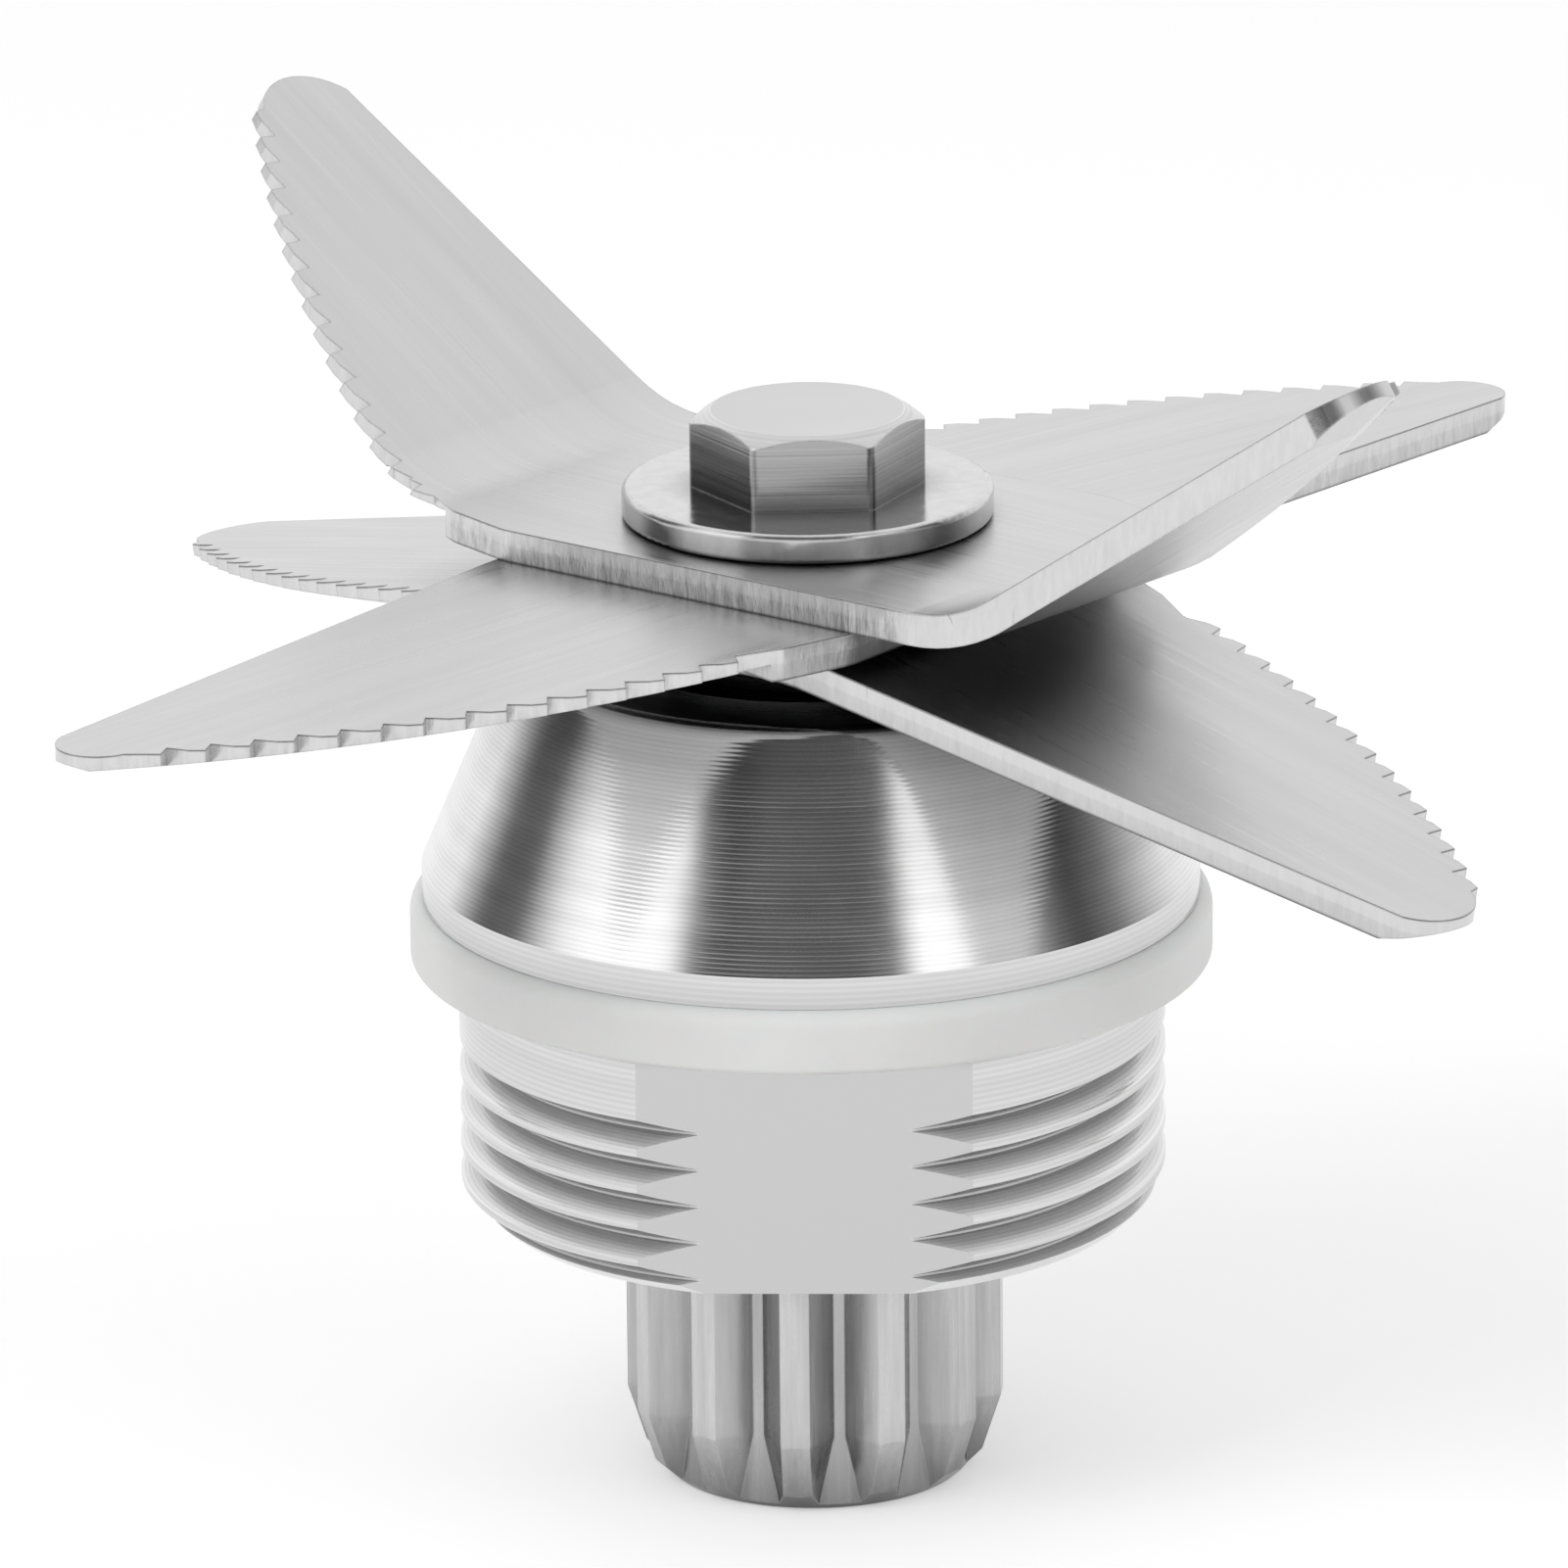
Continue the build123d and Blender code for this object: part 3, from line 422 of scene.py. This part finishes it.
def machined_steel(name, colour, rough, mark, grain, painted_shade_reach, skin=1.0, corner_highlight=0.15):
    """Plain machined steel.

    mark and grain are the size of its tool marks in millimetres and their strength, painted_shade_reach is
    how many millimetres the painted shade in hollows reaches, skin the tone of upright faces and
    corner_highlight how bright the painted highlight on corners is.
    """
    # Cutter marks and faint staining break up an otherwise even grey.
    material, tree, shader = new_material(name)
    place = add_node(tree, "ShaderNodeTexCoord")
    scaled = add_node(tree, "ShaderNodeMapping", {"vector_type": "TEXTURE"}, {
        "Vector": place.outputs["Object"], "Scale": [size * MM for size in mark]})
    marks = add_node(tree, "ShaderNodeTexNoise", inputs={
        "Vector": scaled.outputs[0], "Scale": 1.0, "Detail": 4.0, "Roughness": 0.6})
    tone = add_node(tree, "ShaderNodeMapRange", inputs={
        "Value": marks.outputs["Fac"], "From Min": 0.3, "From Max": 0.7,
        "To Min": 1 - grain, "To Max": 1 + grain / 2})
    marked = add_node(tree, "ShaderNodeMix", {"data_type": "RGBA", "blend_type": "MULTIPLY"}, {
        "Factor": 1.0, COLOUR_A: (*colour, 1), COLOUR_B: tone.outputs[0]})
    normal = add_node(tree, "ShaderNodeNewGeometry")
    facing = add_node(tree, "ShaderNodeSeparateXYZ", inputs={0: normal.outputs["True Normal"]})
    lying = add_node(tree, "ShaderNodeMath", {"operation": "ABSOLUTE"}, {0: facing.outputs["Z"]})
    skin_tone = add_node(tree, "ShaderNodeMapRange", inputs={
        "Value": lying.outputs[0], "From Min": 0.1, "From Max": 0.4, "To Min": skin, "To Max": 1.0})
    before_hollow_shade = add_node(tree, "ShaderNodeMix", {"data_type": "RGBA", "blend_type": "MULTIPLY"}, {
        "Factor": 1.0, COLOUR_A: marked.outputs[COLOUR_OUT], COLOUR_B: skin_tone.outputs[0]})
    open_to = add_node(tree, "ShaderNodeAmbientOcclusion", {"samples": NEAR_RAYS}, {"Distance": painted_shade_reach * MM})
    painted_shade = add_node(tree, "ShaderNodeMapRange", inputs={
        "Value": open_to.outputs["AO"], "From Min": 0.25, "From Max": 0.9, "To Min": 0.15, "To Max": 1.0})
    with_painted_shade = add_node(tree, "ShaderNodeMix", {"data_type": "RGBA", "blend_type": "MULTIPLY"}, {
        "Factor": 1.0, COLOUR_A: before_hollow_shade.outputs[COLOUR_OUT], COLOUR_B: painted_shade.outputs[0]})
    # Corners are broken by 0.15 mm and carry a painted highlight as bright as corner_highlight sets.
    broken = add_node(tree, "ShaderNodeBevel", {"samples": NEAR_RAYS}, {"Radius": 0.15 * MM})
    bent = add_node(tree, "ShaderNodeVectorMath", {"operation": "DOT_PRODUCT"}, {
        0: broken.outputs[0], 1: normal.outputs["True Normal"]})
    painted_corner_highlight = add_node(tree, "ShaderNodeMapRange", inputs={
        "Value": bent.outputs["Value"], "From Min": 0.995, "From Max": 0.95, "To Max": corner_highlight})
    shade = add_node(tree, "ShaderNodeMix", {"data_type": "RGBA"}, {
        "Factor": painted_corner_highlight.outputs[0], COLOUR_A: with_painted_shade.outputs[COLOUR_OUT], COLOUR_B: (0.95, 0.95, 0.95, 1)})
    sheen = add_node(tree, "ShaderNodeMapRange", inputs={
        "Value": marks.outputs["Fac"], "From Min": 0.3, "From Max": 0.7,
        "To Min": rough[0], "To Max": rough[1]})
    bump = add_node(tree, "ShaderNodeBump", inputs={
        "Strength": 0.3, "Distance": 0.02 * MM, "Height": marks.outputs["Fac"],
        "Normal": broken.outputs[0]})
    tree.links.new(shade.outputs[COLOUR_OUT], shader.inputs["Base Color"])
    tree.links.new(sheen.outputs[0], shader.inputs["Roughness"])
    tree.links.new(bump.outputs[0], shader.inputs["Normal"])
    shader.inputs["Metallic"].default_value = 1.0
    return material


def moulded_rubber(name, colour, roughness, pore, scatter):
    """Moulded rubber or silicone with a fine mould texture."""
    # The mould's blasted surface leaves a soft sheen with no clear reflection.
    material, tree, shader = new_material(name)
    place = add_node(tree, "ShaderNodeTexCoord")
    pores = add_node(tree, "ShaderNodeTexNoise", inputs={
        "Vector": place.outputs["Object"], "Scale": 1 / pore, "Detail": 3.0})
    cloud = add_node(tree, "ShaderNodeTexNoise", inputs={
        "Vector": place.outputs["Object"], "Scale": 1 / (6 * MM), "Detail": 2.0})
    tone = add_node(tree, "ShaderNodeMapRange", inputs={
        "Value": cloud.outputs["Fac"], "From Min": 0.3, "From Max": 0.7, "To Min": 0.96, "To Max": 1.02})
    shade = add_node(tree, "ShaderNodeMix", {"data_type": "RGBA", "blend_type": "MULTIPLY"}, {
        "Factor": 1.0, COLOUR_A: (*colour, 1), COLOUR_B: tone.outputs[0]})
    rough = add_node(tree, "ShaderNodeMapRange", inputs={
        "Value": pores.outputs["Fac"], "To Min": roughness - 0.06, "To Max": roughness + 0.06})
    bump = add_node(tree, "ShaderNodeBump", inputs={
        "Strength": 0.25, "Distance": 0.03 * MM, "Height": pores.outputs["Fac"]})
    tree.links.new(shade.outputs[COLOUR_OUT], shader.inputs["Base Color"])
    tree.links.new(rough.outputs[0], shader.inputs["Roughness"])
    tree.links.new(bump.outputs[0], shader.inputs["Normal"])
    shader.inputs["IOR"].default_value = 1.41
    shader.inputs["Subsurface Weight"].default_value = scatter
    shader.inputs["Subsurface Scale"].default_value = 2 * MM
    return material


class BLADEASSEMBLY_OT_plates(bpy.types.Operator):
    """Finish the three blade plates"""

    bl_idname = "blade_assembly.plates"
    bl_label = "Finish Blade Plates"

    def execute(self, context):
        colours = context.scene.blade_colours
        for name, plate in PLATES.items():
            dress(sheet_steel(f"Satin stainless sheet of {name}", colours, plate), name)
        return {"FINISHED"}


class BLADEASSEMBLY_OT_fasteners(bpy.types.Operator):
    """Finish the bolt and the washer"""

    bl_idname = "blade_assembly.fasteners"
    bl_label = "Finish Bolt And Washer"

    def execute(self, context):
        colour = context.scene.blade_colours.polished
        # Drawn hexagon bar: a duller skin with level draw lines 0.2 mm apart, under a bright turned top.
        # Its corners get the full painted highlight.
        bolt = machined_steel(
            "Polished drawn stainless", colour, rough=(0.12, 0.22), mark=(70, 70, 0.2), grain=0.25,
            painted_shade_reach=7, skin=0.68, corner_highlight=1.0)
        # Barrelled washer: nearly a mirror, with faint scratches.
        washer = machined_steel(
            "Barrelled stainless", colour, rough=(0.1, 0.2), mark=(0.9, 0.9, 2), grain=0.1, painted_shade_reach=2)
        dress(bolt, "blade_bolt")
        dress(washer, "clamp_washer")
        return {"FINISHED"}


class BLADEASSEMBLY_OT_spindle(bpy.types.Operator):
    """Finish the spindle and its collar"""

    bl_idname = "blade_assembly.spindle"
    bl_label = "Finish Spindle"

    def execute(self, context):
        colour = context.scene.blade_colours.spline
        # Hobbed steel: cutter marks run up the teeth.
        hobbed = machined_steel(
            "Hobbed steel", colour, rough=(0.18, 0.3), mark=(0.5, 0.5, 9), grain=0.16, painted_shade_reach=5)
        # Turned bush: level tool lines.
        bush = machined_steel(
            "Turned bush steel", colour, rough=(0.2, 0.32), mark=(40, 40, 0.2), grain=0.12, painted_shade_reach=6)
        dress(hobbed, "spindle")
        dress(bush, "blade_collar")
        return {"FINISHED"}


class BLADEASSEMBLY_OT_bearings(bpy.types.Operator):
    """Finish the bearings, spacers and retaining ring"""

    bl_idname = "blade_assembly.bearings"
    bl_label = "Finish Bearings"

    def execute(self, context):
        colours = context.scene.blade_colours
        # Ground rings: close level lines, bright.
        rings = machined_steel(
            "Ground bearing steel", colours.bearing, rough=(0.14, 0.24), mark=(40, 40, 0.15), grain=0.08,
            painted_shade_reach=2)
        # Lapped balls: a mirror.
        balls = machined_steel(
            "Lapped ball steel", colours.bearing, rough=(0.05, 0.1), mark=(1, 1, 1), grain=0.04, painted_shade_reach=2)
        # Pressed strip: soft rolling texture.
        pressed = machined_steel(
            "Pressed steel strip", colours.bearing, rough=(0.3, 0.42), mark=(0.6, 0.6, 0.6), grain=0.1,
            painted_shade_reach=2)
        # Oiled spring steel: dark and even.
        spring = machined_steel(
            "Oiled spring steel", colours.spring, rough=(0.35, 0.5), mark=(0.4, 0.4, 0.4), grain=0.2,
            painted_shade_reach=2)
        for side in ("upper", "lower"):
            dress(rings, f"{side}_bearing_inner_ring", f"{side}_bearing_outer_ring")
            dress(balls, f"{side}_bearing_balls")
            dress(pressed, f"{side}_bearing_cage")
            dress(pressed, f"{side}_bearing_top_shield", f"{side}_bearing_bottom_shield")
        dress(rings, "inner_spacer", "outer_spacer")
        dress(spring, "retaining_ring", "seal_spring")
        dress(pressed, "seal_case")
        return {"FINISHED"}


class BLADEASSEMBLY_OT_seals(bpy.types.Operator):
    """Finish the gasket and the lip of the shaft seal"""

    bl_idname = "blade_assembly.seals"
    bl_label = "Finish Gasket And Seal"

    def execute(self, context):
        colours = context.scene.blade_colours
        dress(moulded_rubber("Milky silicone", colours.silicone, 0.46, 0.25 * MM, 0.15), "jar_gasket")
        dress(moulded_rubber("Black nitrile rubber", colours.rubber, 0.5, 0.2 * MM, 0.0), "seal_lip")
        return {"FINISHED"}


class BLADEASSEMBLY_OT_housing(bpy.types.Operator):
    """Cut the thread into a copy of the housing and finish it"""

    bl_idname = "blade_assembly.housing"
    bl_label = "Cut Housing Thread"

    def execute(self, context):
        sizes = context.scene.blade_thread
        cutter = self.groove_cutter(context, sizes)
        bpy.ops.object.select_all(action="DESELECT")
        housing = bpy.data.objects.new("threaded_housing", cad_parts["housing"].data.copy())
        context.collection.objects.link(housing)
        context.view_layer.objects.active = housing
        housing.select_set(True)
        bpy.ops.object.mode_set(mode="EDIT")
        bpy.ops.mesh.select_all(action="SELECT")
        bpy.ops.mesh.remove_doubles(threshold=0.002 * MM)
        bpy.ops.mesh.normals_make_consistent(inside=False)
        bpy.ops.object.mode_set(mode="OBJECT")
        cut = housing.modifiers.new("Thread", "BOOLEAN")
        cut.operation = "DIFFERENCE"
        cut.solver = "EXACT"
        cut.object = cutter
        bpy.ops.object.modifier_apply(modifier=cut.name)
        bpy.data.objects.remove(cutter)
        bpy.ops.mesh.customdata_custom_splitnormals_clear()
        bpy.ops.object.shade_smooth_by_angle(angle=radians(16))
        cone_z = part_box("jar_gasket")[1].z + sizes.flange_height
        housing.data.materials.clear()
        housing.data.materials.append(turned_steel(
            "Turned stainless steel", context.scene.blade_colours, sizes.flat_distance, cone_z))
        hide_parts("housing")
        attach(housing, "housing_body")
        return {"FINISHED"}

    def pick_corners(self, piece, wanted):
        """Select the wanted corners of a mesh and stay in edit mode."""
        bpy.ops.object.mode_set(mode="EDIT")
        bpy.ops.mesh.select_mode(type="VERT")
        bpy.ops.mesh.select_all(action="DESELECT")
        bpy.ops.object.mode_set(mode="OBJECT")
        for corner in piece.data.vertices:
            corner.select = wanted(corner)
        bpy.ops.object.mode_set(mode="EDIT")

    def groove_cutter(self, context, sizes):
        """A closed spiral of the groove's section, right-handed, that runs out at its top."""
        reach = 0.15 * MM
        root = sizes.crest_radius - sizes.depth
        mouth = sizes.crest_radius + reach
        middle = (root + mouth) / 2
        mouth_width = sizes.root_flat + 2 * (mouth - root) * tan(sizes.flank_angle)
        bpy.ops.object.select_all(action="DESELECT")
        bpy.ops.mesh.primitive_plane_add(
            size=1.0, location=(0, middle, sizes.top - sizes.turns * sizes.pitch), rotation=(0, pi / 2, 0))
        cutter = context.object
        cutter.scale = (mouth_width, mouth - root, 1)
        bpy.ops.object.transform_apply()
        # The inner edge is narrowed to the bottom of the groove.
        self.pick_corners(cutter, lambda corner: corner.co.y < middle)
        bpy.ops.transform.resize(value=(1, 1, sizes.root_flat / mouth_width))
        bpy.ops.mesh.select_all(action="SELECT")
        bpy.ops.mesh.delete(type="ONLY_FACE")
        bpy.ops.object.mode_set(mode="OBJECT")
        spiral = cutter.modifiers.new("Spiral", "SCREW")
        spiral.axis = "Z"
        spiral.steps = sizes.steps
        spiral.render_steps = sizes.steps
        spiral.iterations = sizes.turns
        spiral.screw_offset = sizes.pitch
        spiral.use_merge_vertices = False
        bpy.ops.object.modifier_apply(modifier=spiral.name)
        # The last section moves clear of the crest, and those before it follow less and less.
        first_of_last = len(cutter.data.vertices) - 4
        self.pick_corners(cutter, lambda corner: corner.index >= first_of_last)
        grow = mouth / root
        bpy.ops.transform.resize(
            value=(grow, grow, 1), center_override=(0, 0, 0), use_proportional_edit=True,
            use_proportional_connected=True, proportional_edit_falloff="LINEAR",
            proportional_size=sizes.run_out)
        bpy.ops.mesh.select_all(action="DESELECT")
        bpy.ops.mesh.select_mode(type="EDGE")
        bpy.ops.mesh.select_non_manifold(extend=False)
        bpy.ops.mesh.edge_face_add()
        bpy.ops.mesh.select_all(action="SELECT")
        bpy.ops.mesh.normals_make_consistent(inside=False)
        bpy.ops.object.mode_set(mode="OBJECT")
        return cutter


class BLADEASSEMBLY_OT_stage(bpy.types.Operator):
    """Lay the floor, light the room and place the camera"""

    bl_idname = "blade_assembly.stage"
    bl_label = "Set Up Stage"

    def execute(self, context):
        settings = context.scene.blade_stage
        self.lay_floor(context, settings)
        self.light_room(context, settings)
        self.place_camera(context, settings)
        context.scene.view_settings.view_transform = "Standard"
        return {"FINISHED"}

    def lay_floor(self, context, settings):
        """A pale matt floor under the end of the spline."""
        bpy.ops.object.select_all(action="DESELECT")
        bpy.ops.mesh.primitive_plane_add(size=settings.floor_size, location=(0, 0, -settings.floor_gap))
        bpy.ops.object.transform_apply()
        floor = context.object
        floor.name = "floor"
        # Matt paper: even and pale, a little lighter to the camera and in reflections.
        material, tree, shader = new_material("Matt white paper")
        path = add_node(tree, "ShaderNodeLightPath")
        seen = add_node(tree, "ShaderNodeMath", {"operation": "MAXIMUM"}, {
            0: path.outputs["Is Camera Ray"], 1: path.outputs["Is Glossy Ray"]})
        through = add_node(tree, "ShaderNodeMath", {"operation": "MAXIMUM"}, {
            0: seen.outputs[0], 1: path.outputs["Is Transmission Ray"]})
        lift = add_node(tree, "ShaderNodeMath", {"operation": "MULTIPLY"}, {
            0: through.outputs[0], 1: settings.floor_lift})
        shader.inputs["Base Color"].default_value = (*settings.floor, 1)
        shader.inputs["Roughness"].default_value = 0.9
        shader.inputs["Specular IOR Level"].default_value = 0.1
        shader.inputs["Emission Color"].default_value = (1, 1, 1, 1)
        tree.links.new(lift.outputs[0], shader.inputs["Emission Strength"])
        # From below the floor is clear, so that the drive end can be seen.
        side = add_node(tree, "ShaderNodeNewGeometry")
        clear = add_node(tree, "ShaderNodeBsdfTransparent")
        paper = add_node(tree, "ShaderNodeMixShader", inputs={
            0: side.outputs["Backfacing"], 1: shader.outputs[0], 2: clear.outputs[0]})
        tree.links.new(paper.outputs[0], tree.nodes["Material Output"].inputs["Surface"])
        floor.data.materials.append(material)

    def light_room(self, context, settings):
        """Two soft lamps, an even room, and softboxes with dark gaps for the metal to show."""
        for name, power, size, place in (
            ("key_light", settings.key, 0.5, (-0.45, -0.45, 0.7)),
            ("fill_light", settings.fill, 0.6, (0.6, -0.35, 0.5)),
        ):
            bpy.ops.object.light_add(type="AREA", location=place)
            lamp = context.object
            lamp.name = name
            lamp.data.size = size
            lamp.data.energy = power
            lamp.rotation_euler = (settings.target - Vector(place)).to_track_quat("-Z", "Y").to_euler()
            lamp.visible_glossy = False
        world = bpy.data.worlds.new("Studio")
        world.use_nodes = True
        context.scene.world = world
        tree = world.node_tree
        tree.nodes.clear()
        place = add_node(tree, "ShaderNodeTexCoord")
        axes = add_node(tree, "ShaderNodeSeparateXYZ", inputs={0: place.outputs["Generated"]})
        front = add_node(tree, "ShaderNodeMath", {"operation": "MULTIPLY"}, {0: axes.outputs["Y"], 1: -1.0})
        bearing = add_node(tree, "ShaderNodeMath", {"operation": "ARCTAN2"}, {
            0: axes.outputs["X"], 1: front.outputs[0]})
        share = add_node(tree, "ShaderNodeMapRange", inputs={
            "Value": bearing.outputs[0], "From Min": -pi, "From Max": pi})
        boxes = add_node(tree, "ShaderNodeValToRGB", inputs={"Fac": share.outputs[0]})
        # Softboxes and gaps round the room, by bearing in degrees from the front, right positive.
        bands = [
            (-180, 1.0), (-130, 1.0), (-112, 0.1), (-95, 0.1), (-80, 1.0), (-68, 1.25), (-42, 1.25),
            (-36, 0.05), (-25, 0.05), (-14, 0.11), (14, 0.1), (29, 0.09), (35, 1.5), (46, 1.25),
            (62, 1.05), (72, 0.4), (80, 0.12), (90, 0.05), (104, 0.2), (124, 0.7), (140, 1.0)]
        set_stops(boxes.color_ramp, [((degrees + 180) / 360, level) for degrees, level in bands])
        # The ceiling is bright behind and dark in front, which draws a dark line on each upper corner.
        ceiling = add_node(tree, "ShaderNodeMapRange", {"interpolation_type": "SMOOTHSTEP"}, {
            "Value": axes.outputs["Z"], "From Min": 0.62, "From Max": 0.85})
        overhead = add_node(tree, "ShaderNodeMapRange", {"interpolation_type": "SMOOTHSTEP"}, {
            "Value": axes.outputs["Y"], "From Min": -0.3, "From Max": 0.0, "To Min": 0.12, "To Max": 0.95})
        # A pale strip runs low across the front, for the tops of the plates as seen from behind.
        low = add_node(tree, "ShaderNodeMapRange", {"interpolation_type": "SMOOTHSTEP"}, {
            "Value": axes.outputs["Z"], "From Min": 0.32, "From Max": 0.4, "To Min": 1.0, "To Max": 0.0})
        ahead = add_node(tree, "ShaderNodeMapRange", {"interpolation_type": "SMOOTHSTEP"}, {
            "Value": front.outputs[0], "From Min": 0.72, "From Max": 0.82})
        strip = add_node(tree, "ShaderNodeMath", {"operation": "MULTIPLY"}, {
            0: low.outputs[0], 1: ahead.outputs[0]})
        sides = add_node(tree, "ShaderNodeMix", {"data_type": "RGBA"}, {
            "Factor": strip.outputs[0], COLOUR_A: boxes.outputs[0], COLOUR_B: (0.85, 0.85, 0.85, 1)})
        walls = add_node(tree, "ShaderNodeMix", {"data_type": "RGBA"}, {
            "Factor": ceiling.outputs[0], COLOUR_A: sides.outputs[COLOUR_OUT], COLOUR_B: overhead.outputs[0]})
        even = add_node(tree, "ShaderNodeBackground", inputs={
            "Color": (1, 1, 1, 1), "Strength": settings.room})
        shown = add_node(tree, "ShaderNodeBackground", inputs={
            "Color": walls.outputs[COLOUR_OUT], "Strength": 1.0})
        white = add_node(tree, "ShaderNodeBackground", inputs={"Color": (1, 1, 1, 1), "Strength": 1.0})
        path = add_node(tree, "ShaderNodeLightPath")
        seen = add_node(tree, "ShaderNodeMath", {"operation": "MAXIMUM"}, {
            0: path.outputs["Is Camera Ray"], 1: path.outputs["Is Transmission Ray"]})
        mirrored = add_node(tree, "ShaderNodeMixShader", inputs={
            0: path.outputs["Is Glossy Ray"], 1: even.outputs[0], 2: shown.outputs[0]})
        lit = add_node(tree, "ShaderNodeMixShader", inputs={
            0: seen.outputs[0], 1: mirrored.outputs[0], 2: white.outputs[0]})
        add_node(tree, "ShaderNodeOutputWorld", inputs={"Surface": lit.outputs[0]})

    def place_camera(self, context, settings):
        """A long lens a little above the object, as the photograph was taken."""
        bpy.ops.object.camera_add(location=settings.eye)
        camera = context.object
        aim = (settings.target - settings.eye).to_track_quat("-Z", "Y")
        camera.rotation_euler = (aim @ Quaternion((0, 0, 1), settings.roll)).to_euler()
        camera.data.sensor_width = 36.0
        camera.data.lens = settings.lens
        camera.data.clip_start = 0.01
        context.scene.camera = camera


class BLADEASSEMBLY_PT_sidebar(bpy.types.Panel):
    """Steps and sizes of the blade assembly"""

    bl_idname = "BLADEASSEMBLY_PT_sidebar"
    bl_label = "Blade Assembly"
    bl_space_type = "VIEW_3D"
    bl_region_type = "UI"
    bl_category = "Blade Assembly"

    def draw(self, context):
        layout = self.layout
        for operator in OPERATORS:
            layout.operator(operator.bl_idname)
        for group in (context.scene.blade_thread, context.scene.blade_colours, context.scene.blade_stage):
            box = layout.box()
            for name in group.bl_rna.properties.keys():
                if name not in ("rna_type", "name"):
                    box.prop(group, name)


GROUPS = (ThreadSizes, FinishColours, StageSettings)
OPERATORS = (
    BLADEASSEMBLY_OT_plates,
    BLADEASSEMBLY_OT_fasteners,
    BLADEASSEMBLY_OT_spindle,
    BLADEASSEMBLY_OT_bearings,
    BLADEASSEMBLY_OT_seals,
    BLADEASSEMBLY_OT_housing,
    BLADEASSEMBLY_OT_stage,
)


def register():
    for item in (*GROUPS, *OPERATORS, BLADEASSEMBLY_PT_sidebar):
        bpy.utils.register_class(item)
    bpy.types.Scene.blade_thread = bpy.props.PointerProperty(type=ThreadSizes)
    bpy.types.Scene.blade_colours = bpy.props.PointerProperty(type=FinishColours)
    bpy.types.Scene.blade_stage = bpy.props.PointerProperty(type=StageSettings)


def unregister():
    del bpy.types.Scene.blade_stage
    del bpy.types.Scene.blade_colours
    del bpy.types.Scene.blade_thread
    for item in (BLADEASSEMBLY_PT_sidebar, *reversed(OPERATORS), *reversed(GROUPS)):
        bpy.utils.unregister_class(item)


def main():
    register()
    bpy.ops.blade_assembly.plates()
    bpy.ops.blade_assembly.fasteners()
    bpy.ops.blade_assembly.spindle()
    bpy.ops.blade_assembly.bearings()
    bpy.ops.blade_assembly.seals()
    bpy.ops.blade_assembly.housing()
    bpy.ops.blade_assembly.stage()


if __name__ == "__main__":
    main()
